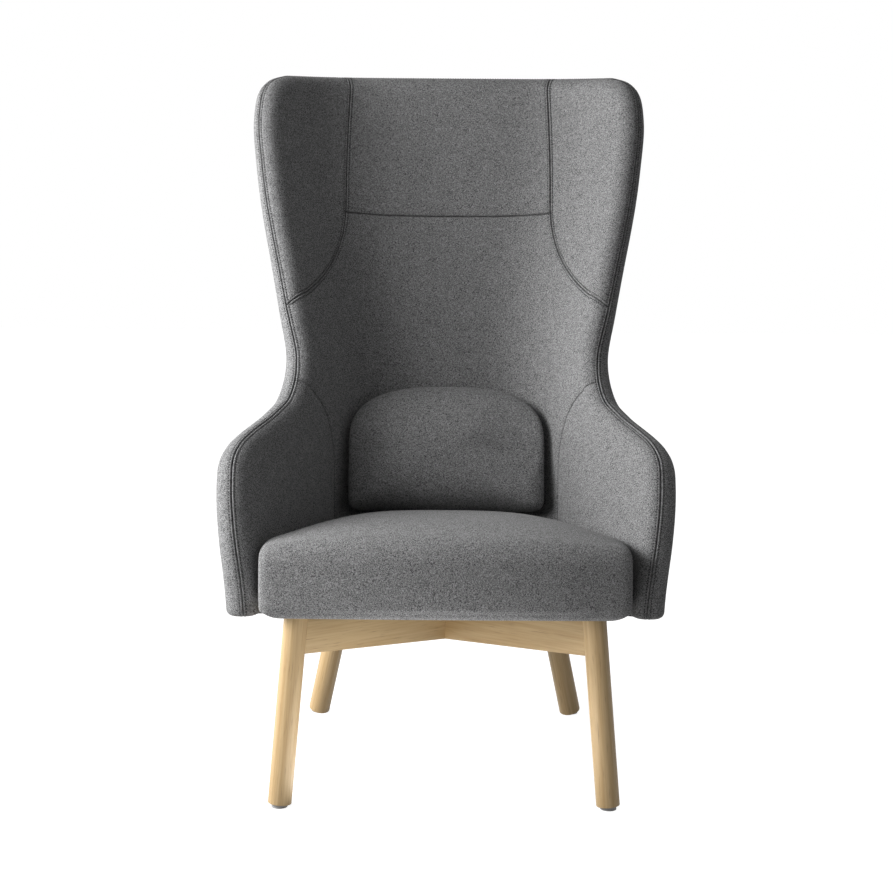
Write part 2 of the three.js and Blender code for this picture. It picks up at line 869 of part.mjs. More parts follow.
function shellFoamSolid() {
  const half = halfWall - coverThickness - clearance;
  const pocket = wallSolid(coarseGrid, shellBoardThickness / 2 + clearance, 2);
  let solid = wallSolid(fineGrid, half, rimFacets)
    .subtract(pocket)
    .subtract(boardSlab(clearance, -overrun, boardTopLevel + clearance))
    .subtract(belowLevel(liningLevel + liningThickness + clearance));
  shellScrewPlaces.forEach(({ x, y }) => {
    solid = solid.subtract(screwHole(x, y, -overrun, shellScrewTip + clearance));
  });
  return solid;
}

// The rim seam lies further round to the sitter's side on the arms than on the wings
const armSeamAngle = -25;
const wingSeamAngle = -2.6;
const seamTurnShares = [0.2392, 0.5981];

// Heights of the seams are shares of the rim's height
function seamHeight(share) {
  return armFootHeight + share * rimHeight;
}

function rimSeamBlade() {
  const [low, high] = seamTurnShares.map(seamHeight);
  const stations = borderOf(fineGrid).map((station) => {
    const share = THREE.MathUtils.smoothstep(station.place.point.z, low, high);
    const degrees = armSeamAngle + (wingSeamAngle - armSeamAngle) * share;
    return {
      point: station.place.point,
      reach: roundTheRim(station, degrees),
      side: roundTheRim(station, degrees + 90),
    };
  });
  return seamBlade(stations, halfWall / 2, halfWall + 2 * bladeSpare);
}

// Wing seam: straight down from the top, then sweeping out to past the rim by its reach
const wingSeamTop = 187;
const wingSeamKnee = 203;
const wingSeamFirst = 209;
const wingSeamSecond = 235;
const wingSeamReach = 82;
const wingSeamShares = [0.7536, 0.6699, 0.5921, 0.5586];
const wingStraightSteps = 3;
const wingSweepSteps = 9;

// Places on the wall from lengths along it and shares of the rim's height
function seamPlaces(alongs, shares) {
  return alongs.map((along, k) => new THREE.Vector2(along, seamHeight(shares[k])));
}

function wingSeam(side) {
  const end = rimAlongAt(seamHeight(wingSeamShares[3])) + wingSeamReach;
  const knots = seamPlaces([wingSeamKnee, wingSeamFirst, wingSeamSecond, end], wingSeamShares);
  const top = new THREE.Vector2(wingSeamTop, shellTop + overrun);
  const straight = new THREE.LineCurve(top, knots[0]).getPoints(wingStraightSteps);
  const sweep = new THREE.CubicBezierCurve(...knots).getPoints(wingSweepSteps);
  return [...straight, ...sweep.slice(1)].map(({ x, y }) => new THREE.Vector2(side * x, y));
}

// Head seam: across the back at the neck, a little higher towards the wings
const headSeamShare = 0.7243;
const headSeamRise = 9;
const headSeamReach = 225;
const headSeamPower = 3;
const headSeamSteps = 5;

function headSeam() {
  const places = [];
  for (let k = -headSeamSteps; k <= headSeamSteps; k += 1) {
    const share = k / headSeamSteps;
    const height = seamHeight(headSeamShare) + headSeamRise * Math.abs(share) ** headSeamPower;
    places.push(new THREE.Vector2(share * headSeamReach, height));
  }
  return places;
}

// Arm seam: from past the rim at the waist down the corner of the seat
const armSeamReach = 92.3;
const armSeamFirst = 342;
const armSeamSecond = 280;
const armSeamBend = 268;
const armSeamFoot = 252;
const armSeamShares = [0.4234, 0.3971, 0.3349, 0.2153];
const armSweepSteps = 8;
const armDescentSteps = 6;

function armSeam(side) {
  const start = rimAlongAt(seamHeight(armSeamShares[0])) + armSeamReach;
  const knots = seamPlaces([start, armSeamFirst, armSeamSecond, armSeamBend], armSeamShares);
  const foot = new THREE.Vector2(armSeamFoot, basePlaneHeight(backDepth) - overrun);
  const sweep = new THREE.CubicBezierCurve(...knots).getPoints(armSweepSteps);
  const descent = new THREE.LineCurve(knots[knots.length - 1], foot).getPoints(armDescentSteps);
  return [...sweep, ...descent.slice(1)].map(({ x, y }) => new THREE.Vector2(side * x, y));
}

// Side seam on the outside, where the back turns into the side
const sideSeamAlong = 205;
const sideSeamSteps = 6;

function sideSeam(side) {
  const low = basePlaneHeight(backDepth) - overrun;
  const places = [];
  for (let k = 0; k <= sideSeamSteps; k += 1) {
    places.push(new THREE.Vector2(
      side * sideSeamAlong, low + k / sideSeamSteps * (shellTop + overrun - low),
    ));
  }
  return places;
}

function cutAlong(solid, places, reach, axis) {
  return piecesOf(solid.subtract(seamBlade(wallStations(places), ...reach)), axis, 2);
}

function shellCovers() {
  const boardRoom = boardSlab(clearance, -overrun, boardTopLevel + clearance);
  const skin = wallSolid(fineGrid, halfWall, rimFacets)
    .subtract(wallSolid(fineGrid, halfWall - coverThickness, rimFacets))
    .subtract(boardRoom)
    .subtract(belowLevel(liningLevel))
    .subtract(rimSeamBlade());
  const [inside, outside] = piecesOf(skin, 'y', 2);
  const [wingLeft, withoutLeft] = cutAlong(inside, wingSeam(-1), innerBlade, 'x');
  const [middle, wingRight] = cutAlong(withoutLeft, wingSeam(1), innerBlade, 'x');
  const [lower, headrest] = cutAlong(middle, headSeam(), innerBlade, 'z');
  const [armLeft, lowerRest] = cutAlong(lower, armSeam(-1), innerBlade, 'x');
  const [back, armRight] = cutAlong(lowerRest, armSeam(1), innerBlade, 'x');
  const [sideLeft, outsideRest] = cutAlong(outside, sideSeam(-1), outerBlade, 'x');
  const [outerBack, sideRight] = cutAlong(outsideRest, sideSeam(1), outerBlade, 'x');
  return [
    ['headrest_cover', headrest, wool],
    ['inner_back_cover', back, wool],
    ['wing_cover_left', wingLeft, woolDark],
    ['wing_cover_right', wingRight, woolLight],
    ['arm_cover_left', armLeft, woolDark],
    ['arm_cover_right', armRight, woolLight],
    ['outer_side_cover_left', sideLeft, woolLight],
    ['outer_back_cover', outerBack, wool],
    ['outer_side_cover_right', sideRight, woolDark],
  ];
}

// Seat

const seatRows = 7;
const seatColumns = 10;
const seatArcSteps = 3;
const seatCrownSkew = 0.75;
const seatCrownPower = 0.8;
const seatSwellPower = 3.2;

// Half width of the seat at a place in the tilted frame: the front's, or what the arms leave
function seatHalfAt(y, level) {
  const place = onBase(0, y, level);
  const along = alongAt(place.y, place.z, halfWall);
  return Math.min(seatHalfWidth, innerFace(along, place.z).x - seatGap);
}

function seatRearAt(level) {
  const back = innerFace(probe, onBase(0, 0, level).z).applyMatrix4(baseInverse).y;
  const cornerRoom = shellThickness / 3;
  return back - cornerRoom;
}

// Side profile of the seat from its front foot over the front edge to the rear, in the
// tilted frame. Each station has its place, its outward direction and its share of crown.
function seatProfile(inset, footLevel) {
  const front = -seatFront + inset + seatFrontBulge;
  const top = seatEdgeLevel - inset;
  const stations = [];
  for (let k = 0; k <= seatArcSteps; k += 1) {
    const angle = Math.PI / 2 * k / seatArcSteps;
    stations.push({
      y: front + seatFootRadius * (1 - Math.sin(angle)),
      z: footLevel + seatFootRadius * (1 - Math.cos(angle)),
      normal: new THREE.Vector2(-Math.sin(angle), -Math.cos(angle)),
    });
  }
  for (let k = 1; k < seatArcSteps; k += 1) {
    const low = footLevel + seatFootRadius;
    stations.push({
      y: front,
      z: low + k / seatArcSteps * (top - seatTopRadius - low),
      normal: new THREE.Vector2(-1, 0),
    });
  }
  for (let k = 0; k <= seatArcSteps; k += 1) {
    const angle = Math.PI / 2 * k / seatArcSteps;
    stations.push({
      y: front + seatTopRadius * (1 - Math.cos(angle)),
      z: top - seatTopRadius * (1 - Math.sin(angle)),
      normal: new THREE.Vector2(-Math.cos(angle), Math.sin(angle)),
    });
  }
  const rear = seatRearAt(top) - inset;
  const start = front + seatTopRadius;
  for (let k = 1; k <= seatRows; k += 1) {
    const y = start + k / seatRows * (rear - start);
    stations.push({ y, z: top, normal: new THREE.Vector2(0, 1) });
  }
  stations.forEach((station) => {
    const run = THREE.MathUtils.clamp((station.y - front) / (rear - front), 0, 1);
    const hump = Math.sin(Math.PI * run ** seatCrownSkew) ** seatCrownPower;
    station.crown = station.normal.y > 0 ? seatCrown * hump : 0;
    const rise = (station.z - seatLevel) / (seatEdgeLevel - seatLevel);
    station.bulge = station.normal.x < 0 && rise > 0 ? seatFrontBulge * Math.sin(Math.PI * rise) : 0;
  });
  return stations;
}

// Height of the seat's top along its middle
function seatTopHeight(depth) {
  const tops = seatProfile(0, seatLevel).filter((station) => station.normal.x >= 0)
    .map((station) => onBase(0, station.y, station.z + station.crown));
  const k = tops.findIndex((top) => top.y > depth);
  if (k < 1) {
    return tops[tops.length - 1].z;
  }
  const share = (depth - tops[k - 1].y) / (tops[k].y - tops[k - 1].y);
  return tops[k - 1].z + share * (tops[k].z - tops[k - 1].z);
}

// The whole cushion, drawn in from its outer face by an inset
function seatSolid(inset, footLevel) {
  const stations = seatProfile(inset, footLevel);
  const positions = [];
  const indices = [];
  const add = (x, y, z) => {
    const point = onBase(x, y, z);
    return positions.push(point.x, point.y, point.z) / 3 - 1;
  };
  const face = (...corner) => {
    for (let k = 1; k + 1 < corner.length; k += 1) {
      indices.push(corner[0], corner[k], corner[k + 1]);
    }
  };
  const rows = stations.map((station) => {
    const half = seatHalfAt(station.y, station.z) - inset;
    const row = [];
    for (let i = 0; i <= seatColumns; i += 1) {
      const share = 2 * i / seatColumns - 1;
      const swell = 1 - Math.abs(share) ** seatSwellPower;
      row.push(add(share * half, station.y - station.bulge * swell, station.z + station.crown * swell));
    }
    return row;
  });
  for (let j = 0; j + 1 < rows.length; j += 1) {
    for (let i = 0; i < seatColumns; i += 1) {
      face(rows[j][i], rows[j][i + 1], rows[j + 1][i + 1], rows[j + 1][i]);
    }
  }
  // The underside follows the arms at its own level
  const firstTop = rows.length - 1 - seatRows;
  const rearFoot = seatRearAt(footLevel) - inset;
  const foot = [rows[0]];
  for (let k = 1; k <= seatRows; k += 1) {
    const y = stations[0].y + k / seatRows * (rearFoot - stations[0].y);
    const half = seatHalfAt(y, footLevel) - inset;
    foot.push(rows[0].map((_, i) => add((2 * i / seatColumns - 1) * half, y, footLevel)));
  }
  for (let k = 0; k < seatRows; k += 1) {
    for (let i = 0; i < seatColumns; i += 1) {
      face(foot[k][i + 1], foot[k][i], foot[k + 1][i], foot[k + 1][i + 1]);
    }
  }
  for (let i = 0; i < seatColumns; i += 1) {
    const top = rows[rows.length - 1];
    const low = foot[seatRows];
    face(top[i], top[i + 1], low[i + 1], low[i]);
  }
  [0, seatColumns].forEach((i) => {
    const wall = (...corner) => face(...(i === 0 ? corner : corner.reverse()));
    for (let j = 0; j < firstTop; j += 1) {
      if (j > 0) {
        wall(foot[0][i], rows[j][i], rows[j + 1][i]);
      }
    }
    wall(foot[0][i], rows[firstTop][i], foot[1][i]);
    wall(rows[firstTop][i], rows[firstTop + 1][i], foot[1][i]);
    for (let k = 1; k < seatRows; k += 1) {
      wall(foot[k][i], rows[firstTop + k][i], foot[k + 1][i]);
      wall(rows[firstTop + k][i], rows[firstTop + k + 1][i], foot[k + 1][i]);
    }
  });
  return solidOf(positions, indices);
}

// Blade along the sewn edge between the seat's top panel and a side panel
function seatEdgeBlade(side) {
  const footTop = seatLevel + seatFootRadius - weld;
  const profile = seatProfile(0, seatLevel).filter((station) => station.z > footTop);
  const first = profile[0];
  const rearFoot = seatRearAt(seatLevel);
  profile[profile.length - 1].normal = new THREE.Vector2(1, 1).normalize();
  const backward = new THREE.Vector2(1, 0);
  const stations = [
    { y: first.y, z: first.z - overrun, normal: first.normal },
    ...profile,
    { y: rearFoot, z: seatLevel, normal: backward },
    { y: rearFoot, z: seatLevel - overrun, normal: backward },
  ].map(({ y, z, normal }) => {
    const half = seatHalfAt(y, Math.max(z, seatLevel));
    const outward = new THREE.Vector3(0, normal.x, normal.y);
    const across = new THREE.Vector3(side, 0, 0);
    return {
      point: onBase(side * half, y, z),
      reach: across.clone().add(outward).normalize().transformDirection(baseMatrix),
      side: across.clone().sub(outward).normalize().transformDirection(baseMatrix),
    };
  });
  const deep = coverThickness + 2 * bladeSpare;
  return seamBlade(stations, -deep, deep);
}

function seatCovers() {
  const cover = seatSolid(0, seatLevel)
    .subtract(seatSolid(coverThickness, seatLevel - seatFootRadius));
  const parted = cover.subtract(seatEdgeBlade(-1)).subtract(seatEdgeBlade(1));
  const [left, top, right] = piecesOf(parted, 'x', 3);
  return [
    ['seat_side_cover_left', left, woolLight],
    ['seat_cover', top, wool],
    ['seat_side_cover_right', right, woolDark],
  ];
}

// Board in the seat's foot, cut to the cushion's underside
function seatPanSolid() {
  let solid = seatBoard(panLevel, panTopLevel);
  corners.filter((corner) => corner.front).forEach((corner) => {
    solid = solid.subtract(boltHole(corner));
  });
  panScrewPlaces.forEach(({ x, y }) => {
    solid = solid.subtract(screwHole(x, y, -overrun, panScrewTip + clearance));
  });
  return solid;
}

// A board inside the cushion's cover, set back behind the cover's rounded foot
function seatBoard(low, high) {
  return seatSolid(coverThickness + clearance + panSetback, seatLevel - seatFootRadius)
    .intersect(tiltedSlab(low, high));
}

function seatLiningSolid() {
  let solid = seatBoard(seatLevel, seatLevel + liningThickness);
  corners.filter((corner) => corner.front).forEach((corner) => {
    solid = solid.subtract(boltHole(corner));
  });
  panScrewPlaces.forEach(({ x, y }) => {
    solid = solid.subtract(screwHole(x, y, -overrun, overrun));
  });
  return solid;
}

function seatFoamSolid() {
  return seatSolid(coverThickness + clearance, seatLevel - seatFootRadius)
    .subtract(belowLevel(seatFoamLevel));
}

// Lumbar pillow: two crowned faces that meet in a seam round a soft-cornered outline

const pillowTurn = THREE.MathUtils.degToRad(pillowLean);
const pillowMiddleRise = pillowHeight / 2 * Math.cos(pillowTurn);

// Middle of the pillow's lower seam: its back leans on the shell and its seam stands on the seat
function pillowFoot() {
  let height = seatTopHeight(0);
  let depth = 0;
  for (let k = 0; k < settleSteps; k += 1) {
    const back = innerFace(probe, height + pillowMiddleRise).y - pillowEase;
    depth = back - pillowBackDepth / Math.cos(pillowTurn) - pillowHeight / 2 * Math.sin(pillowTurn);
    height = seatTopHeight(depth) + clearance;
  }
  return new THREE.Vector3(0, depth, height);
}

const pillowPoint = pillowFoot();
const pillowMatrix = new THREE.Matrix4()
  .makeRotationX(-pillowTurn)
  .setPosition(pillowPoint);

// How far the shell comes forward at a distance from the middle, which the pillow follows
function pillowBend(x) {
  const height = pillowPoint.z + pillowMiddleRise;
  let near = 0;
  let far = backDepth;
  for (let k = 0; k < halvings; k += 1) {
    const middle = (near + far) / 2;
    if (innerFace(middle + probe, height).x < Math.abs(x)) {
      near = middle;
    } else {
      far = middle;
    }
  }
  return innerFace(probe, height).y - innerFace(near + probe, height).y;
}

const pillowSectors = 24;
const pillowRingShares = [0.45, 0.76, 0.94];
const pillowCornerPower = 3.2;
const pillowFootPower = 6;
const pillowFlatPower = 3;
const pillowEdgePower = 0.55;

function pillowSolid(inset) {
  const halfWidth = pillowWidth / 2 - inset;
  const halfHeight = pillowHeight / 2 - inset;
  const positions = [];
  const indices = [];
  const add = (x, y, z) => {
    const point = new THREE.Vector3(x, y - pillowBend(x), z + pillowHeight / 2)
      .applyMatrix4(pillowMatrix);
    return positions.push(point.x, point.y, point.z) / 3 - 1;
  };
  const outline = [];
  for (let k = 0; k < pillowSectors; k += 1) {
    const angle = 2 * Math.PI * (k + 0.5) / pillowSectors;
    const [c, s] = [Math.cos(angle), Math.sin(angle)];
    const power = s > 0 ? pillowCornerPower : pillowFootPower;
    const reach = (Math.abs(c) ** power + Math.abs(s) ** power) ** (-1 / power);
    outline.push(new THREE.Vector2(halfWidth * c * reach, halfHeight * s * reach));
  }
  const seam = outline.map(({ x, y }) => add(x, 0, y));
  [[-1, pillowFrontDepth - inset], [1, pillowBackDepth - inset]].forEach(([way, depth]) => {
    const swell = (share) => depth * (1 - share ** pillowFlatPower) ** pillowEdgePower;
    const pole = add(0, way * depth, 0);
    const rings = pillowRingShares.map((share) => outline.map(
      ({ x, y }) => add(share * x, way * swell(share), share * y),
    ));
    rings.push(seam);
    for (let k = 0; k < pillowSectors; k += 1) {
      const next = (k + 1) % pillowSectors;
      const fan = [pole, rings[0][k], rings[0][next]];
      indices.push(...(way < 0 ? fan : fan.reverse()));
      for (let m = 0; m + 1 < rings.length; m += 1) {
        const quad = [rings[m][k], rings[m + 1][k], rings[m + 1][next], rings[m][next]];
        const [p, q, r, t] = way < 0 ? quad : quad.reverse();
        indices.push(p, q, r, p, r, t);
      }
    }
  });
  return solidOf(positions, indices);
}

function zipSolid(extra) {
  const strip = new THREE.BoxGeometry(
    zipLength + 2 * extra, zipWidth + 2 * extra, coverThickness * 2 + 2 * extra,
  );
  return solidFrom(strip, pillowMatrix);
}

function pillowPieces() {
  const cover = pillowSolid(0).subtract(pillowSolid(coverThickness)).subtract(zipSolid(clearance));
  const filling = pillowSolid(coverThickness + clearance).subtract(zipSolid(clearance));
  return [
    ['lumbar_pillow_cover', piecesOf(cover, 'x', 1)[0], wool],
    ['lumbar_pillow_filling', piecesOf(filling, 'x', 1)[0], foam],
    ['lumbar_pillow_zip', zipSolid(0).intersect(pillowSolid(0)), zipPlastic],
  ];
}

// Assembly

function groupAt(parent, matrix) {
  const group = new THREE.Group();
  group.applyMatrix4(matrix);
  parent.add(group);
  return group;
}

// Solids are worked out in the chair's frame and hung in their group's own
function hang(group, matrix, [name, solid, look]) {
  const geometry = geometryOf(solid, matrix.clone().invert());
  const mesh = new THREE.Mesh(geometry, new THREE.MeshStandardMaterial(look));
  mesh.name = name;
  group.add(mesh);
}

function baseParts(parent) {
  const group = groupAt(parent, baseMatrix);
  corners.forEach((corner) => {
    const legGroup = groupAt(parent, corner.leg.matrix);
    hang(legGroup, corner.leg.matrix, [`leg_${corner.name}`, legSolid(corner), oak]);
    hang(legGroup, corner.leg.matrix, [`glide_${corner.name}`, glideSolid(corner), glidePlastic]);
    const bolt = screwSolid(
      boltDiameter, boltHeadDiameter, boltHeadHeight, boltLength(corner), boltSides, boltFrame(corner),
    );
    hang(legGroup, corner.leg.matrix, [`leg_bolt_${corner.name}`, bolt, steel]);
  });
  const beamHeadLevel = beamLevel - beamScrewGrip;
  const beamScrewTip = boardTopLevel - screwDiameter / 2;
  beams.forEach((beam) => {
    hang(group, baseMatrix, [beam.name, beamSolid(beam), oak]);
    beamScrewPlaces(beam).forEach(({ x, y }, k) => {
      const name = `${beam.name}_screw_${k === 0 ? 'front' : 'rear'}`;
      hang(group, baseMatrix, [name, uprightScrew(x, y, beamHeadLevel, beamScrewTip), steel]);
    });
  });
  const { x, y } = centreScrewPlace();
  hang(group, baseMatrix, ['cross_lap_screw', uprightScrew(x, y, beamHeadLevel, beamScrewTip), steel]);
}

function shellParts(parent) {
  const group = groupAt(parent, new THREE.Matrix4());
  const matrix = new THREE.Matrix4();
  hang(group, matrix, ['shell_board', shellBoardSolid(), plywood]);
  hang(group, matrix, ['shell_foam', shellFoamSolid(), foam]);
  shellCovers().forEach((piece) => hang(group, matrix, piece));
}

function seatParts(parent) {
  const group = groupAt(parent, baseMatrix);
  hang(group, baseMatrix, ['base_board', baseBoardSolid(), plywood]);
  hang(group, baseMatrix, ['base_lining', baseLiningSolid(), lining]);
  hang(group, baseMatrix, ['seat_lining', seatLiningSolid(), lining]);
  hang(group, baseMatrix, ['seat_pan', seatPanSolid(), plywood]);
  hang(group, baseMatrix, ['seat_foam', seatFoamSolid(), foam]);
  seatCovers().forEach((piece) => hang(group, baseMatrix, piece));
  panScrewPlaces.forEach(({ name, x, y }) => {
    hang(group, baseMatrix, [`seat_screw_${name}`, uprightScrew(x, y, boardHeadLevel, panScrewTip), steel]);
  });
  shellScrewPlaces.forEach(({ name, x, y }) => {
    hang(group, baseMatrix, [
      `shell_screw_${name}`, uprightScrew(x, y, boardHeadLevel, shellScrewTip), steel,
    ]);
  });
}

function pillowParts(parent) {
  const group = groupAt(parent, pillowMatrix);
  pillowPieces().forEach((piece) => hang(group, pillowMatrix, piece));
}

const chair = new THREE.Group();
baseParts(chair);
shellParts(chair);
seatParts(chair);
pillowParts(chair);

// The chair's origin lies on the floor under the middle of its overall depth
const bounds = new THREE.Box3().setFromObject(chair, true);
chair.position.y = -(bounds.min.y + bounds.max.y) / 2;

export default chair;
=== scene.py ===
import json
import math

import bmesh
import bpy
import numpy as np
from mathutils import Matrix, Vector
from mathutils.geometry import delaunay_2d_cdt
from mathutils.kdtree import KDTree


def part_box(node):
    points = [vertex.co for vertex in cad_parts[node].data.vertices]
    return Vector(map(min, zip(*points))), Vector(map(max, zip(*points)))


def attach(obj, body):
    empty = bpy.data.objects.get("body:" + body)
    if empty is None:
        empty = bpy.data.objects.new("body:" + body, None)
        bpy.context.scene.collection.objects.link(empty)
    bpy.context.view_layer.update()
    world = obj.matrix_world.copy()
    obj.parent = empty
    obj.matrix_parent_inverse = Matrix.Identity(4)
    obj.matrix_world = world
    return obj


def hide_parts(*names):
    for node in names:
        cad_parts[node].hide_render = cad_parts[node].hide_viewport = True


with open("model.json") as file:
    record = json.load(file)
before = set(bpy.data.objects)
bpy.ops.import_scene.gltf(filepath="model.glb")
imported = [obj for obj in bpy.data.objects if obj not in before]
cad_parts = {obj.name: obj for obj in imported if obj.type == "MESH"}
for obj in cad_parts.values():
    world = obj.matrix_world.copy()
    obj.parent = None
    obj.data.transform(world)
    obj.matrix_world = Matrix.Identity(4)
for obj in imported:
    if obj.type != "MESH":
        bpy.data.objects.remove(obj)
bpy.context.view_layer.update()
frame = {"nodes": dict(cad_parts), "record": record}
print("frame loaded:", len(frame["nodes"]), "nodes")

# sizes of the shell's wall, as the CAD part has them
wall = {
    "half": 0.026, "top": 1.162, "backDepth": 0.335, "recline": 15,
    "uprightHeight": 0.5, "uprightRun": 0.23,
    "armFront": 0.298, "armFootHeight": 0.3, "rimDepth": 0.532,
    "planHeights": (0.28, 0.62, 1.1), "turns": (73.2, 66.5, 53),
    "corners": (0.178, 0.156, 0.209), "spreads": (0.117, 0.124, 0.117),
    "planSteps": 48, "tilt": 5, "boardFront": 0.292, "boardTop": 0.0145,
    "rimDepthShares": (0, 0.0192, 0.0806, 0.1573, 0.3828, 0.5042, 0.6042, 0.657, 0.7506,
                       0.8489, 0.8993, 0.9387, 1),
    "rimHeightShares": (0, 0.137, 0.241, 0.2908, 0.3283, 0.362, 0.4418, 0.5446, 0.6849,
                        0.8365, 0.9338, 0.9855, 1),
}
mounts = {m["name"]: Vector(m["pos_m"]) for m in frame["record"]["mounts"]}
frontFootDepth = 0.350
shift = mounts["foot_front_left"].y + frontFootDepth  # the CAD part is centred on its depth
wallTop = wall["top"] - wall["half"]
tiltAngle = math.radians(wall["tilt"])
tiltCos, tiltSin = math.cos(tiltAngle), math.sin(tiltAngle)
probe = 0.001


def clearSelection():
    if bpy.context.object and bpy.context.object.mode != "OBJECT":
        bpy.ops.object.mode_set(mode="OBJECT")
    bpy.ops.object.select_all(action="DESELECT")


def activate(obj):
    clearSelection()
    obj.select_set(True)
    bpy.context.view_layer.objects.active = obj


def applyModifiers(obj):
    activate(obj)
    for modifier in list(obj.modifiers):
        bpy.ops.object.modifier_apply(modifier=modifier.name)


def newObject(name, data):
    obj = bpy.data.objects.new(name, data)
    bpy.context.scene.collection.objects.link(obj)
    return obj


def meshObject(name, points, faces):
    mesh = bpy.data.meshes.new(name)
    mesh.from_pydata([tuple(p) for p in points], [], faces)
    mesh.update()
    return newObject(name, mesh)


def smoothShade(obj):
    obj.data.polygons.foreach_set("use_smooth", [True] * len(obj.data.polygons))
    obj.data.update()


def thicken(obj, thickness):
    modifier = obj.modifiers.new("clothThickness", "SOLIDIFY")
    modifier.thickness = thickness
    modifier.offset = -1
    applyModifiers(obj)


# makes the normals agree, on an open cloth in the direction that is its outside
def turnOutward(obj, direction=None):
    bm = bmesh.new()
    bm.from_mesh(obj.data)
    bmesh.ops.recalc_face_normals(bm, faces=bm.faces)
    if direction is not None and sum(f.normal.dot(direction) * f.calc_area() for f in bm.faces) < 0:
        bmesh.ops.reverse_faces(bm, faces=bm.faces)
    bm.to_mesh(obj.data)
    bm.free()


def declare(obj, body, slot, *nodes):
    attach(obj, body)
    if nodes:
        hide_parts(*nodes)


def smoothStep(x, low, high):
    t = np.clip((x - low) / (high - low), 0, 1)
    return t * t * (3 - 2 * t)


def unit(vectors):
    return vectors / np.linalg.norm(vectors, axis=-1, keepdims=True)


def arcOf(points):
    return np.concatenate([[0], np.cumsum(np.linalg.norm(np.diff(points, axis=0), axis=1))])


def readAt(at, stops, table):
    return np.stack([np.interp(at, stops, table[:, c]) for c in range(table.shape[1])], -1)


def gapTo(outline, points):
    return np.array([np.min(np.linalg.norm(outline - p, axis=1)) for p in points])


def treeFrom(points):
    points = list(points)
    tree = KDTree(len(points))
    for k, p in enumerate(points):
        tree.insert(p, k)
    tree.balance()
    return tree


def insideOutline(x, y, outline):
    inside = np.zeros(x.shape, bool)
    for (x0, y0), (x1, y1) in zip(outline, np.roll(outline, -1, axis=0)):
        if y0 != y1:
            inside ^= ((y0 > y) != (y1 > y)) & (x < (x1 - x0) * (y - y0) / (y1 - y0) + x0)
    return inside


# points of a square grid inside an outline
def gridInside(outline, low, high, spacing):
    x, y = np.meshgrid(np.arange(low[0], high[0], spacing), np.arange(low[1], high[1], spacing))
    inside = insideOutline(x, y, outline)
    return np.stack([x[inside], y[inside]], -1)


def triangulated(outline, spots):
    edges = [(k, (k + 1) % len(outline)) for k in range(len(outline))]
    corners = [Vector(p) for p in outline] + [Vector(p) for p in spots]
    verts, _, faces, _, _, _ = delaunay_2d_cdt(corners, edges, [], 1, 1e-7)
    return np.array([v[:] for v in verts]), [list(face) for face in faces]


def bezier(p0, p1, p2, p3, count):
    t = np.linspace(0, 1, count)[:, None]
    p0, p1, p2, p3 = (np.array(p) for p in (p0, p1, p2, p3))
    return (1 - t) ** 3 * p0 + 3 * (1 - t) ** 2 * t * p1 + 3 * (1 - t) * t ** 2 * p2 + t ** 3 * p3


def line(p0, p1, count):
    t = np.linspace(0, 1, count)[:, None]
    return np.array(p0) * (1 - t) + np.array(p1) * t


# halves the range from 0 to far until it closes in on the last place that is near
def halved(like, far, rounds, isNear):
    near, far = np.zeros_like(like), np.full_like(like, far)
    for _ in range(rounds):
        middle = (near + far) / 2
        nearer = isNear(middle)
        near, far = np.where(nearer, middle, near), np.where(nearer, far, middle)
    return near, far


# the wall's middle surface: a place is a length along its plan curve and a height

def planValue(height, values):
    result = np.full_like(height, values[0])
    for k in range(2):
        low, high = wall["planHeights"][k:k + 2]
        result += (values[k + 1] - values[k]) * smoothStep(height, low, high)
    return result


def backLine(height):
    lean = math.tan(math.radians(wall["recline"]))
    under = np.maximum(wall["uprightHeight"] - height, 0)
    return wall["backDepth"] - lean * (wallTop - height) + lean * under ** 2 / (2 * wall["uprightRun"])


def wallPoint(along, height):
    along, height = np.broadcast_arrays(np.asarray(along, float), np.asarray(height, float))
    turn = np.radians(planValue(height, wall["turns"]))
    corner, spread = planValue(height, wall["corners"]), planValue(height, wall["spreads"])
    step = np.abs(along) / wall["planSteps"]
    across, forward = np.zeros_like(step), np.zeros_like(step)
    for k in range(wall["planSteps"]):
        heading = turn * smoothStep((k + 0.5) * step, corner - spread, corner + spread)
        across += np.cos(heading) * step
        forward += np.sin(heading) * step
    return np.stack([np.sign(along) * across, backLine(height) - forward + shift, height], -1)


def wallNormal(along, height):
    side = wallPoint(along + probe, height) - wallPoint(along - probe, height)
    rise = wallPoint(along, height + probe) - wallPoint(along, height - probe)
    return unit(np.cross(side, rise))


def wallFace(along, height):
    return wallPoint(along, height) + wallNormal(along, height) * wall["half"]


def alongAt(depth, height, pointAt=wallPoint):
    depth, height = np.asarray(depth, float), np.asarray(height, float)
    near, far = halved(depth, 2 * wall["rimDepth"], 26, lambda middle: pointAt(middle, height)[..., 1] > depth)
    return (near + far) / 2


# the tilted base plane at the shell's foot

def basePlane(y):
    return wall["armFootHeight"] - math.tan(tiltAngle) * (y - shift + wall["armFront"])


def levelOf(points):
    return (points[..., 2] - basePlane(points[..., 1])) * tiltCos


def backOnBase(points):
    return (points[..., 1] - shift) * tiltCos - (points[..., 2] - basePlane(shift)) * tiltSin


def onBase(x, y, level):
    x, y, level = np.broadcast_arrays(np.asarray(x, float), np.asarray(y, float), np.asarray(level, float))
    return np.stack([x, y * tiltCos + level * tiltSin + shift,
                     basePlane(shift) - y * tiltSin + level * tiltCos], -1)


def footHeight(along):
    height = np.full_like(np.asarray(along, float), wall["armFootHeight"])
    for _ in range(6):
        height = basePlane(wallPoint(along, height)[..., 1])
    return height


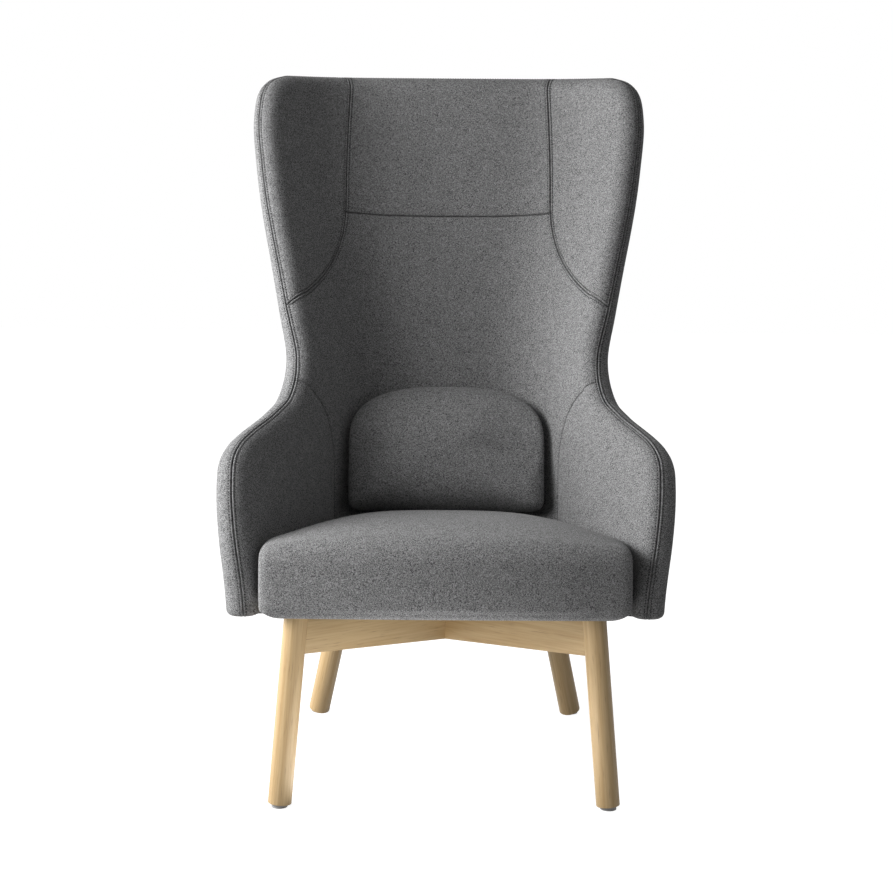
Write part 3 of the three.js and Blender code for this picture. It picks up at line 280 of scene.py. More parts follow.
def rimCurve(count):
    depth = np.array(wall["rimDepthShares"]) * wall["rimDepth"] - wall["armFront"]
    height = np.array(wall["rimHeightShares"]) * (wallTop - wall["armFootHeight"]) + wall["armFootHeight"]
    knots = np.stack([depth, height], -1)
    last = len(knots) - 1
    places = []
    for t in np.linspace(0, last, count):
        k = min(int(t), last - 1)
        w = t - k
        p0, p1, p2, p3 = (knots[min(max(k + d, 0), last)] for d in (-1, 0, 1, 2))
        v0, v1 = (p2 - p0) / 2, (p3 - p1) / 2
        places.append((2 * p1 - 2 * p2 + v0 + v1) * w ** 3 + (3 * p2 - 3 * p1 - 2 * v0 - v1) * w ** 2 + v0 * w + p1)
    return np.array(places)


rimPlaces = rimCurve(900)
rimArc = arcOf(rimPlaces)
rimAlong = alongAt(rimPlaces[:, 0] + shift, rimPlaces[:, 1])
rimLength = rimArc[-1]

# upholstery of the shell: cell size, hem and seams
cloth = {
    "halfColumns": 100, "rowSpacing": 0.005, "firstRow": 0.010, "hemFade": 0.04,
    "hemArcs": (0.0, 0.0001, 0.0004, 0.0012, 0.0026, 0.0045, 0.007),
    "hemLevels": (0.0012, 0.0001, 0.0004, 0.0012, 0.0026, 0.0045, 0.007),
    "hemInsets": (0.019, 0.0095, 0.0072, 0.00525, 0.00327, 0.00165, 0.00046),
    "ringSteps": (0.0, 0.0006, 0.0013, 0.0022, 0.0034, 0.0045, 0.0055, 0.007, 0.009, 0.012),
    "innerRing": 5, "outerRing": 8,
    "stitchOffset": 0.005, "refineWidth": 0.0085, "refineCuts": 4, "thickness": 0.0016,
    "puff": 0.0014, "puffWidth": 0.022, "plainShare": 0.55, "seamSlant": 3.8, "slantReach": 16,
}
seams = {
    "wingTop": 0.187, "wing": ((0.203, 0.930), (0.209, 0.848), (0.247, 0.793), (0.440, 0.758)),
    "headHeight": 0.9055, "headRise": 0.009, "headReach": 0.225, "headEnd": 0.2045,
    "arm": ((0.450, 0.654), (0.342, 0.632), (0.280, 0.580), (0.268, 0.480)),
    "armFoot": 0.252, "outerSide": 0.205, "wingFar": 0.711, "armFar": 0.705,
    "armTurn": -25, "wingTurn": -2.6, "turnLow": 0.5, "turnHigh": 0.8,
}
lowest = basePlane(wall["backDepth"] + shift) - 0.03
highest = wall["top"] + 0.03
wingPath = np.concatenate([line((seams["wingTop"], highest), seams["wing"][0], 300), bezier(*seams["wing"], 400)[1:]])
armPath = np.concatenate([bezier(*seams["arm"], 400), line(seams["arm"][-1], (seams["armFoot"], lowest), 250)[1:]])
sidePath = line((seams["outerSide"], lowest), (seams["outerSide"], highest), 900)
headShare = np.linspace(-1, 1, 500) * seams["headEnd"] / seams["headReach"]
headPath = np.stack([headShare * seams["headReach"],
                     seams["headHeight"] + seams["headRise"] * np.abs(headShare) ** 3], -1)
sides = {"left": -1, "right": 1}


# the grid of places, with rows from the hem to the top
def placeGrid():
    count = int(rimLength / cloth["rowSpacing"])
    arcs = np.concatenate([cloth["hemArcs"], np.linspace(cloth["firstRow"], rimLength, count)])
    s = np.linspace(-1, 1, 2 * cloth["halfColumns"] + 1)
    foot = footHeight(s * rimAlong[0])
    middleFoot = float(footHeight(np.array(0.0)))
    blend = (foot - middleFoot) / (wall["armFootHeight"] - middleFoot)
    middleRise = (arcs / rimLength * (wallTop - middleFoot))[:, None]
    rimRise = (np.interp(arcs, rimArc, rimPlaces[:, 1]) - wall["armFootHeight"])[:, None]
    heights = foot + middleRise * (1 - blend) + rimRise * blend
    alongs = s * np.interp(arcs, rimArc, rimAlong)[:, None]
    insets, levels = np.zeros(len(arcs)), arcs.copy()
    insets[:len(cloth["hemInsets"])] = cloth["hemInsets"]
    levels[:len(cloth["hemLevels"])] = cloth["hemLevels"]
    return alongs, heights, insets, levels


heightStretch = 1 / math.cos(math.radians(wall["recline"]))


def placeTreeOf(alongs, heights):
    return treeFrom((a, h * heightStretch, 0) for a, h in zip(alongs, heights))


# walks along a seam, picks the mesh's nearest corners and pulls them onto it
def snapSeam(alongs, heights, path, start=(), end=()):
    chain = []
    for a, h in path:
        k = placeTree.find((a, h * heightStretch, 0))[1]
        place = (k // cols, k % cols)
        if not chain or chain[-1] != place:
            chain.append(place)
    inner = [k for k, (j, i) in enumerate(chain) if 0 < j < rows - 1 and 0 < i < cols - 1]
    chain = chain[max(inner[0] - 1, 0):inner[-1] + 2]
    for other, tip in ((start, 0), (end, -1)):
        if other:
            a, h = alongs[chain[tip]], heights[chain[tip]]
            joint = min(other, key=lambda p: (alongs[p] - a) ** 2 + (heights[p] - h) ** 2)
            kept = [p for p in chain if p not in other]
            chain = kept + [joint] if tip else [joint] + kept
    filled = [chain[0]]
    for j, i in chain[1:]:
        while max(abs(j - filled[-1][0]), abs(i - filled[-1][1])) > 1:
            lastJ, lastI = filled[-1]
            filled.append((lastJ + int(np.sign(j - lastJ)), lastI + int(np.sign(i - lastI))))
        if filled[-1] != (j, i):
            filled.append((j, i))
    k = 1
    while k + 1 < len(filled):
        (j0, i0), (j1, i1) = filled[k - 1], filled[k + 1]
        if max(abs(j1 - j0), abs(i1 - i0)) <= 1:
            del filled[k]
        else:
            k += 1
    pathTree = placeTreeOf(*path.T)
    for place in filled:
        onBorder = place[0] in (0, rows - 1) or place[1] in (0, cols - 1)
        if not onBorder and place not in start and place not in end:
            spot = pathTree.find((alongs[place], heights[place] * heightStretch, 0))[0]
            alongs[place], heights[place] = spot[0], spot[1] / heightStretch
    return filled


def bothSides(path):
    return {w: path * np.array([w, 1]) for w in sides.values()}


print("laying out the shell")
baseAlongs, baseHeights, insets, levels = placeGrid()
rows, cols = baseAlongs.shape
inner, outer = [baseAlongs.copy(), baseHeights.copy()], [baseAlongs.copy(), baseHeights.copy()]
placeTree = placeTreeOf(baseAlongs.ravel(), baseHeights.ravel())
wingPaths = bothSides(wingPath)
wingChains = {w: snapSeam(*inner, path) for w, path in wingPaths.items()}
armChains = {w: snapSeam(*inner, path) for w, path in bothSides(armPath).items()}
headChain = snapSeam(*inner, headPath, start=wingChains[-1], end=wingChains[1])
sideChains = {w: snapSeam(*outer, path) for w, path in bothSides(sidePath).items()}


# near the foot the points lie on the tilted base plane
def fitHem(points, target):
    hold = 1 - smoothStep(np.broadcast_to(target, points.shape[:-1]), 0, cloth["hemFade"])
    points[..., 2] += (target - levelOf(points)) * hold / tiltCos
    return points


def placed(alongs, heights, way):
    normals = way * wallNormal(alongs, heights)
    points = wallPoint(alongs, heights) + normals * (wall["half"] - insets[:, None, None])
    return fitHem(points, levels[:, None]), normals


innerPoints, innerNormals = placed(*inner, 1)
outerPoints, outerNormals = placed(*outer, -1)

# stations round the rim: up the right side, over the top and down the left side
border = [(j, cols - 1) for j in range(rows)] + [(rows - 1, i) for i in range(cols - 2, -1, -1)]
border += [(j, 0) for j in range(rows - 2, -1, -1)]
borderJ, borderI = np.array(border).T
stationAlong, stationHeight = baseAlongs[borderJ, borderI], baseHeights[borderJ, borderI]
borderMiddle, borderNormal = wallPoint(stationAlong, stationHeight), wallNormal(stationAlong, stationHeight)
stationIds = np.arange(len(border))
before, after = np.maximum(stationIds - 2, 0), np.minimum(stationIds + 2, len(border) - 1)
borderOut = unit(np.cross(borderMiddle[after] - borderMiddle[before], borderNormal))
seamTurn = np.radians(seams["armTurn"] + (seams["wingTurn"] - seams["armTurn"])
                      * smoothStep(borderMiddle[:, 2], seams["turnLow"], seams["turnHigh"]))


def ringTurns():
    fixed = np.array(cloth["ringSteps"]) / wall["half"]
    low = seamTurn[:, None] - fixed[::-1]
    high = seamTurn[:, None] + fixed
    innerTurns = -math.pi / 2 + (low[:, :1] + math.pi / 2) * np.linspace(0, 1, cloth["innerRing"] + 1)[:-1]
    outerTurns = high[:, -1:] + (math.pi / 2 - high[:, -1:]) * np.linspace(0, 1, cloth["outerRing"] + 1)[1:]
    return np.concatenate([innerTurns, low[:, :-1], high, outerTurns], axis=1)


turns = ringTurns()
ringCount = turns.shape[1]
ringSeam = cloth["innerRing"] + len(cloth["ringSteps"]) - 1
ringNormals = borderOut[:, None] * np.cos(turns)[..., None] - borderNormal[:, None] * np.sin(turns)[..., None]
ringPoints = borderMiddle[:, None] + ringNormals * (wall["half"] - insets[borderJ])[:, None, None]
ringPoints = fitHem(ringPoints, levels[borderJ][:, None])


# the wing seams cross the rim aslant: the stations near their ends slide down along it
def slantStations(place, way):
    station = border.index(place)
    near = 1 - smoothStep(np.abs(stationIds - station), 0, cloth["slantReach"])
    share = np.interp(turns[station], turns[station][[0, ringSeam, -1]], [0, 1, 0])
    for table in (ringPoints, ringNormals):
        for m in range(1, ringCount - 1):
            at = stationIds + way * cloth["seamSlant"] * near * share[m]
            table[:, m] = readAt(at, stationIds, table[:, m].copy())


slantStations(wingChains[1][-1], -1)
slantStations(wingChains[-1][-1], 1)

# one list of corners for the whole skin: inner face, outer face, then the rim between them
innerIds = np.arange(rows * cols).reshape(rows, cols)
outerIds = innerIds + rows * cols
ringIds = np.arange(len(border) * ringCount).reshape(len(border), ringCount) + 2 * rows * cols
ringIds[:, 0] = innerIds[borderJ, borderI]
ringIds[:, -1] = outerIds[borderJ, borderI]
skinPoints = np.concatenate([t.reshape(-1, 3) for t in (innerPoints, outerPoints, ringPoints)])
skinNormals = np.concatenate([t.reshape(-1, 3) for t in (innerNormals, outerNormals, ringNormals)])
far, above, below = 0.7, 1.3, 0.1  # beyond the shell
wingOutline = np.concatenate([wingPath, [(far, seams["wingFar"]), (far, above), (seams["wingTop"], above)]])
armOutline = np.concatenate([[(far, seams["armFar"])], armPath, [(seams["armFoot"], below), (far, below)]])


def panelOf(alongs, heights):
    a = np.abs(alongs)
    isWing, isArm = insideOutline(a, heights, wingOutline), insideOutline(a, heights, armOutline)
    headLine = seams["headHeight"] + seams["headRise"] * (a / seams["headReach"]) ** 3
    side = np.where(alongs < 0, "left", "right").astype(object)
    names = np.where((heights > headLine) & ~isWing, "headrest", "inner_back").astype(object)
    return np.where(isWing, "wing_" + side, np.where(isArm, "arm_" + side, names))


def outerPanelOf(alongs, heights=None):
    side = np.where(alongs < 0, "outer_side_left", "outer_side_right")
    return np.where(np.abs(alongs) > seams["outerSide"], side, "outer_back")


def diagonalCuts(chains):
    cuts = {}
    for chain in chains:
        for (j0, i0), (j1, i1) in zip(chain, chain[1:]):
            if j0 != j1 and i0 != i1:
                cuts[(min(j0, j1), min(i0, i1))] = (j1 - j0) * (i1 - i0) > 0
    return cuts


panels = {}


def addGridFaces(ids, alongs, heights, cuts, outward, namer, keep):
    centreA, centreH = ((t[:-1, :-1] + t[1:, :-1] + t[:-1, 1:] + t[1:, 1:]) / 4 for t in (alongs, heights))
    names = namer(centreA, centreH)
    for j, i in np.argwhere(keep).tolist():
        quad = [(j, i), (j, i + 1), (j + 1, i + 1), (j + 1, i)]
        parts, owners = [quad], [names[j, i]]
        if (j, i) in cuts:
            first = 0 if cuts[(j, i)] else 1
            quad = quad[first:] + quad[:first]
            parts = [quad[:3], [quad[0], quad[2], quad[3]]]
            owners = namer(*(np.array([np.mean([t[p] for p in part]) for part in parts]) for t in (alongs, heights)))
        for part, owner in zip(parts, owners):
            face = [int(ids[p]) for p in part]
            panels.setdefault(str(owner), []).append(face if outward else face[::-1])


level = levelOf(innerPoints)[:-1, :-1]
underBoard = (level < wall["boardTop"]) & (innerPoints[:-1, :-1, 1] - shift > -wall["boardFront"])
innerCuts = diagonalCuts([*wingChains.values(), *armChains.values(), headChain])
addGridFaces(innerIds, *inner, innerCuts, True, panelOf, ~underBoard)
addGridFaces(outerIds, *outer, diagonalCuts(sideChains.values()), False, outerPanelOf,
             np.ones((rows - 1, cols - 1), bool))
midAlong, midHeight = ((t[1:] + t[:-1]) / 2 for t in (stationAlong, stationHeight))
innerOwners, outerOwners = panelOf(midAlong, midHeight), outerPanelOf(midAlong)
for k in range(len(border) - 1):
    for m in range(ringCount - 1):
        owner = innerOwners[k] if m < ringSeam else outerOwners[k]
        corners = ((k, m), (k, m + 1), (k + 1, m + 1), (k + 1, m))
        panels[str(owner)].append([int(ringIds[corner]) for corner in corners])


# seams as lines of points in space, sampled finely
def sampled(points, spacing=0.0004):
    result = []
    for p, q in zip(points, points[1:]):
        count = max(int(np.linalg.norm(q - p) / spacing), 1)
        result.extend(p + (q - p) * k / count for k in range(count))
    result.append(points[-1])
    return result


def ringLine(place, stops=range(ringSeam + 1)):
    return [ringPoints[border.index(place), m] for m in stops]


def treeOf(lines):
    return treeFrom(p for one in lines for p in sampled(one))


wingLines, plainLines = [], []
for w in sides.values():
    wingLines += [[innerPoints[p] for p in wingChains[w]], ringLine(wingChains[w][0]), ringLine(wingChains[w][-1])]
    plainLines += [[innerPoints[p] for p in armChains[w]], ringLine(armChains[w][0]),
                   [outerPoints[p] for p in sideChains[w]],
                   ringLine(sideChains[w][-1], range(ringCount - 1, ringSeam - 1, -1))]
wingTree, plainTree = treeOf(wingLines), treeOf(plainLines)
rimTree = treeOf([list(ringPoints[:, ringSeam])])
headTree = treeOf([[innerPoints[p] for p in headChain]])


# bells over the distance from a seam, each with its height, place and width. A French seam has a valley,
# a soft ridge and a row of stitches on each side; the shades are painted shade in its valley and stitch rows.
seamBells = {
    "french": ((-0.0024, 0, 0.0010), (0.0010, 0.0026, 0.0014), (-0.0005, cloth["stitchOffset"], 0.0010)),
    "plain": ((-0.0026, 0, 0.0013), (-0.0012, 0, 0.006)),
    "frenchShade": ((0.5, 0, 0.0011), (0.34, cloth["stitchOffset"], 0.0009)),
    "headShade": ((1, 0, 0.0017),), "plainShade": ((0.7, 0, 0.0014),),
}


def bells(kind, d):
    return sum(height * np.exp(-((d - centre) / width) ** 2) for height, centre, width in seamBells[kind])


def distances(tree, points):
    return np.array([tree.find(p)[2] for p in points])


# how far the cloth stands off the wall, and how much painted shade darkens it in a seam, from 0 to 1
def puffed(points):
    wing, rim, plain, head = (distances(tree, points) for tree in (wingTree, rimTree, plainTree, headTree))
    sewn = np.minimum(wing, rim)
    nearest = np.minimum(np.minimum(sewn, head), plain)
    puff = cloth["puff"] * (1 - np.exp(-nearest / cloth["puffWidth"]))
    relief = bells("french", sewn) + bells("plain", head) + cloth["plainShare"] * bells("plain", plain) + puff
    # painted shade: the seam valleys and stitch rows get a darker colour, standing for the shade that lies in them
    depth = np.maximum(bells("headShade", head), bells("plainShade", plain))
    return relief - cloth["puff"] / 2, np.maximum(depth, bells("frenchShade", sewn))


def shellPanel(name, faces):
    used = sorted({p for face in faces for p in face})
    index = {p: k for k, p in enumerate(used)}
    points = skinPoints[used]
    obj = meshObject(name, points, [[index[p] for p in face] for face in faces])
    near = np.min([distances(tree, points) for tree in (wingTree, plainTree, headTree)], axis=0) < cloth["refineWidth"]
    bm = bmesh.new()
    bm.from_mesh(obj.data)
    layer = bm.verts.layers.float_vector.new("direction")
    bm.verts.ensure_lookup_table()
    for vertex, normal in zip(bm.verts, skinNormals[used]):
        vertex[layer] = normal
    chosen = {edge for face in bm.faces if any(near[v.index] for v in face.verts) for edge in face.edges}
    bmesh.ops.subdivide_edges(bm, edges=list(chosen), cuts=cloth["refineCuts"], use_grid_fill=True)
    points = np.array([v.co[:] for v in bm.verts])
    relief, depth = puffed(points)
    points += unit(np.array([v[layer][:] for v in bm.verts])) * relief[:, None]
    for vertex, point in zip(bm.verts, points):
        vertex.co = point
    bm.verts.layers.float_vector.remove(layer)
    bm.to_mesh(obj.data)
    bm.free()
    # the painted seam shade is kept on the points for the cloth material
    attribute = obj.data.attributes.new("paintedSeamShade", "FLOAT", "POINT")
    attribute.data.foreach_set("value", np.asarray(depth, np.float32))
    return obj


woolPieces = []


def finishCloth(obj, nodes, body="chair", thickness=cloth["thickness"]):
    smoothShade(obj)
    if thickness:
        thicken(obj, thickness)
    declare(obj, body, "wool", *nodes)
    woolPieces.append(obj)


panelNodes = {"headrest": ["headrest_cover"], "inner_back": ["inner_back_cover", "shell_foam"]}
panelNodes.update({f"{part}_{side}": [f"{part}_cover_{side}"] for part in ("wing", "arm") for side in sides})
panelNodes["outer_back"] = ["outer_back_cover"]
panelNodes.update({f"outer_side_{side}": [f"outer_side_cover_{side}"] for side in sides})
for panel, nodes in panelNodes.items():
    piece = shellPanel(panel + "_upholstery", panels[panel])
    finishCloth(piece, nodes)
    print("upholstered", panel, len(piece.data.polygons), "faces")

# rows of topstitching: small thread capsules laid along lines on the surface
thread = {
    "length": 0.0023, "pitch": 0.0046, "radius": 0.0009, "flatness": 0.8, "sides": 5, "lift": -0.0001,
    "alongs": (-0.5, -0.42, -0.2, 0.2, 0.42, 0.5), "widths": (0, 0.7, 1, 1, 0.7, 0),
    "rimSkip": 0.004, "wingSkip": 0.001, "ringSpacing": 0.001, "ringEnd": 1.3,
}


def rowOnWall(path, side, chain):
    step = unit(np.diff(path * np.array([1, heightStretch]), axis=0))
    across = np.stack([-step[:, 1], step[:, 0] / heightStretch], -1) * side * cloth["stitchOffset"]
    places = path[:-1] + across
    reach = np.interp(places[:, 1], rimPlaces[:, 1], rimAlong)
    along, height = places[(places[:, 1] < baseHeights[chain[0]]) & (np.abs(places[:, 0]) < reach)].T
    return wallFace(along, height), wallNormal(along, height)


def ringRow(place, side):
    points = np.array(sampled(ringLine(place), thread["ringSpacing"]))
    table = ringNormals[border.index(place), :ringSeam + 1]
    normals = readAt(np.linspace(0, ringSeam, len(points)), np.arange(ringSeam + 1), table)
    across = unit(np.cross(np.gradient(points, axis=0), normals))
    keep = np.linalg.norm(points - points[-1], axis=1) > thread["ringEnd"] * cloth["stitchOffset"]
    return points[keep] + across[keep] * side * cloth["stitchOffset"], normals[keep]


def rimRow(side):
    angle = (seamTurn + side * cloth["stitchOffset"] / wall["half"])[:, None]
    normals = borderOut * np.cos(angle) - borderNormal * np.sin(angle)
    return borderMiddle + normals * (wall["half"] - insets[borderJ])[:, None], normals


def stitchFaces():
    count, rings = thread["sides"], len(thread["alongs"]) - 2
    faces = []
    for k in range(count):
        n = (k + 1) % count
        faces.append([0, 1 + n, 1 + k])
        for r in range(rings - 1):
            a, b = 1 + r * count, 1 + (r + 1) * count
            faces.append([a + k, a + n, b + n, b + k])
        a = 1 + (rings - 1) * count
        faces.append([a + k, a + n, a + count])
    return faces


def layStitches(points, normals, skip):
    arc = arcOf(points)
    starts = np.arange(skip, arc[-1] - thread["length"] - skip, thread["pitch"])
    normal = unit(readAt(starts + thread["length"] / 2, arc, normals))
    run = unit(readAt(starts + thread["length"], arc, points) - readAt(starts, arc, points))
    middle = readAt(starts + thread["length"] / 2, arc, points) + normal * thread["lift"]
    turn = 2 * math.pi * np.arange(thread["sides"])[:, None] / thread["sides"]
    across = np.cross(run, normal)[:, None] * np.cos(turn) + normal[:, None] * np.sin(turn) * thread["flatness"]
    rings = []
    for along, width in zip(thread["alongs"], thread["widths"]):
        centre = (middle + run * along * thread["length"])[:, None]
        rings.append(centre + across * width * thread["radius"] if width else centre)
    return np.concatenate(rings, axis=1).reshape(-1, 3)


stitchRows = [(*rimRow(side), thread["rimSkip"]) for side in (-1, 1)]
for w, chain in wingChains.items():
    for side in (-1, 1):
        stitchRows.append((*rowOnWall(wingPaths[w], side, chain), thread["wingSkip"]))
        stitchRows += [(*ringRow(place, side), thread["wingSkip"]) for place in (chain[0], chain[-1])]
verts = np.concatenate([layStitches(*row) for row in stitchRows])
size, stitch = 2 + thread["sides"] * (len(thread["alongs"]) - 2), stitchFaces()
faces = [[p + first for p in face] for first in range(0, len(verts), size) for face in stitch]
stitching = meshObject("shell_topstitching", verts, faces)
turnOutward(stitching)
smoothShade(stitching)
declare(stitching, "chair", "wool")
print("stitched", len(stitching.data.polygons), "faces")

# the seat: crowned top and front in one panel, sewn to a side panel at each arm
seat = {
    "front": 0.384, "halfWidth": 0.292, "edgeLevel": 0.118, "level": 0.0148, "crown": 0.035,
    "frontBulge": 0.007, "frontBow": 0.015, "topRadius": 0.030, "footRadius": 0.012, "cornerRadius": 0.020,
    "gap": 0.008, "hang": 0.0088, "swell": 3.2, "bow": 2.2, "bowReach": 0.12, "footBow": 0.4, "cornerEnd": 0.34,
    "crownRun": 0.75, "crownFlat": 0.8,
    "footSteps": 7, "frontSteps": 16, "roundSteps": 10, "topSteps": 84, "columns": 96,
    "edgeSteps": (0.0, 0.0003, 0.0009, 0.0018, 0.003, 0.0046, 0.0066, 0.009, 0.012), "edgeWidth": 0.017,
    "seamTuck": 0.0014, "seamDrop": 0.0075, "seamRound": 0.016, "sidePuff": 0.004, "underHem": 0.010,
    "cell": 0.006, "cellGap": 0.0052, "sewnSteps": (0.0008, 0.0018, 0.0032), "puffReach": 0.045,
    "tuckEnd": (0.086, 0.106), "hemRise": (0.29, 0.315),
}


def seatHalfAt(y, level):
    height = onBase(0, y, level)[..., 2]
    face = wallFace(alongAt(onBase(0, y, level)[..., 1], height, wallFace), height)
    return np.minimum(seat["halfWidth"], face[..., 0] - seat["gap"])


def seatRear(level):
    return backOnBase(wallFace(probe, onBase(0, 0, level)[2])) - 2 * wall["half"] / 3


def cornerTuck(rise):
    radius = seat["cornerRadius"]
    return np.where(rise < radius, radius - np.sqrt(np.maximum(radius ** 2 - (radius - rise) ** 2, 0)), 0)


# stations from the hem under the front, up the front and back over the top, each with its normal
def seatStations():
    front = -seat["front"] + seat["frontBulge"]
    top, foot = seat["edgeLevel"], seat["level"] - seat["hang"]
    footRadius, topRadius = seat["footRadius"], seat["topRadius"]
    under = front + footRadius + seat["underHem"]
    stations = [(under, seat["level"], 1, 0), (under, foot + 0.001, 0.7, -0.7), (under - 0.001, foot, 0, -1)]
    for angle in np.linspace(0, math.pi / 2, seat["footSteps"]):
        s, c = math.sin(angle), math.cos(angle)
        stations.append((front + footRadius * (1 - s), foot + footRadius * (1 - c), -s, -c))
    low, high = foot + footRadius, top - topRadius
    for share in np.linspace(0, 1, seat["frontSteps"])[1:-1]:
        stations.append((front, low + share * (high - low), -1, 0))
    for angle in np.linspace(0, math.pi / 2, seat["roundSteps"]):
        s, c = math.sin(angle), math.cos(angle)
        stations.append((front + topRadius * (1 - c), top - topRadius * (1 - s), -c, s))
    rear = seatRear(top)
    for share in np.linspace(0, 1, seat["topSteps"])[1:]:
        stations.append((front + topRadius + share * (rear - front - topRadius), top, 0, 1))
    y, z, ny, nz = np.array(stations).T
    run = np.clip((y - front) / (rear - front), 0, 1)
    crown = np.where(nz > 0, seat["crown"] * np.sin(np.pi * run ** seat["crownRun"]) ** seat["crownFlat"], 0)
    rise = np.clip((z - foot) / (top - foot), 0, 1)
    bulge = np.where(ny < 0, seat["frontBulge"] * np.sin(np.pi * rise), 0)
    bulge += seat["frontBow"] * np.clip(1 - run / seat["bowReach"], 0, 1) * np.where(nz < 0, seat["footBow"], 1)
    return y, z, ny, nz, crown, bulge


def seatTop():
    y, z, ny, nz, crown, bulge = seatStations()
    rise = np.maximum(z - seat["level"] + seat["hang"], 0)
    half = seatHalfAt(y, z) - np.where(y < -seat["cornerEnd"], cornerTuck(rise), 0)
    edges = np.array(seat["edgeSteps"]) + seat["seamTuck"]
    middle = np.linspace(-1, 1, seat["columns"])
    points = []
    for k in range(len(y)):
        x = np.concatenate([-half[k] + edges, middle * (half[k] - seat["edgeWidth"]), half[k] - edges[::-1]])
        share = np.abs(x) / half[k]
        t = np.clip((half[k] - np.abs(x) - seat["seamTuck"]) / seat["seamRound"], 0, 1)
        drop = seat["seamDrop"] * (1 - np.sqrt(1 - (1 - t) ** 2))
        points.append(onBase(x, y[k] - bulge[k] * (1 - share ** seat["bow"]) - ny[k] * drop,
                             z[k] + crown[k] * (1 - share ** seat["swell"]) - nz[k] * drop))
    points = np.array(points)
    n, m = points.shape[:2]
    ids = np.arange(n * m).reshape(n, m)
    corners = np.stack([ids[:-1, :-1], ids[:-1, 1:], ids[1:, 1:], ids[1:, :-1]], -1)
    seamLine = np.stack([y - ny * seat["seamDrop"], z - nz * seat["seamDrop"]], -1)
    return meshObject("seat_upholstery", points.reshape(-1, 3), corners.reshape(-1, 4).tolist()), seamLine


def seatSide(name, side, seamLine):
    foot, sewn = seat["level"], seamLine[3:]
    rearFoot = (seatRear(foot), foot)
    hem = line(rearFoot, sewn[0], 90)[1:-1]
    hem[:, 1] = foot + (sewn[0][1] - foot) * smoothStep(-hem[:, 0], *seat["hemRise"])
    outline = np.concatenate([sewn, line(sewn[-1], rearFoot, 18)[1:], hem])
    spots = gridInside(outline, (outline[:, 0].min(), foot - seat["hang"]),
                       (outline[:, 0].max(), seat["edgeLevel"]), seat["cell"])
    spots = spots[gapTo(outline, spots) > seat["cellGap"]]
    sideways = unit(np.gradient(sewn, axis=0))
    inward = np.stack([sideways[:, 1], -sideways[:, 0]], -1)
    rings = np.concatenate([sewn + inward * reach for reach in seat["sewnSteps"]])
    rings = rings[insideOutline(rings[:, 0], rings[:, 1], outline)]
    verts, faces = triangulated(outline, np.concatenate([spots, rings]))
    y, z = verts.T
    sewnGap, rise = gapTo(sewn, verts), np.maximum(z - foot + seat["hang"], 0)
    tuck = cornerTuck(rise) * (1 - smoothStep(y + seat["front"], *seat["tuckEnd"]))
    puff = smoothStep(sewnGap, 0, seat["puffReach"]) * smoothStep(rise, 0, 0.02)
    x = seatHalfAt(y, z) - tuck - seat["seamTuck"] * (1 - smoothStep(sewnGap, 0, seat["sewnSteps"][-1]))
    obj = meshObject(name, onBase(side * (x + seat["sidePuff"] * puff), y, z), faces)
    turnOutward(obj, Vector((side, 0, 0)))
    return obj


seatCloth, seamLine = seatTop()
finishCloth(seatCloth, ["seat_cover", "seat_foam"])
for name, side in sides.items():
    piece = seatSide(f"seat_side_upholstery_{name}", side, seamLine)
    finishCloth(piece, [f"seat_side_cover_{name}"])
print("seat made")

# the loose lumbar pillow: two crowned panels sewn round a soft-cornered outline
pillow = {
    "width": 0.345, "height": 0.226, "frontDepth": 0.072, "backDepth": 0.036, "lean": 14,
    "corner": 2.8, "footCorner": 18, "flat": 2.1, "footFlat": 4.5, "power": 0.62,
    "sectors": 132, "rings": 26, "seamTuck": 0.0016, "seed": 5, "folds": (11, 17, 23, 31),
    "pucker": 0.0012, "puckerPlace": 0.93, "puckerWidth": 0.05, "ringPower": 0.9, "footRise": 0.8, "bendSteps": 40,
}
pillowTurn = math.radians(pillow["lean"])


# how far the shell's inner face lies before its middle, at a place across it
def wallBend(x, height):
    near, _ = halved(x, wall["backDepth"], 28, lambda middle: wallFace(middle + probe, height)[..., 0] < np.abs(x))
    return wallFace(probe, height)[..., 1] - wallFace(near + probe, height)[..., 1]


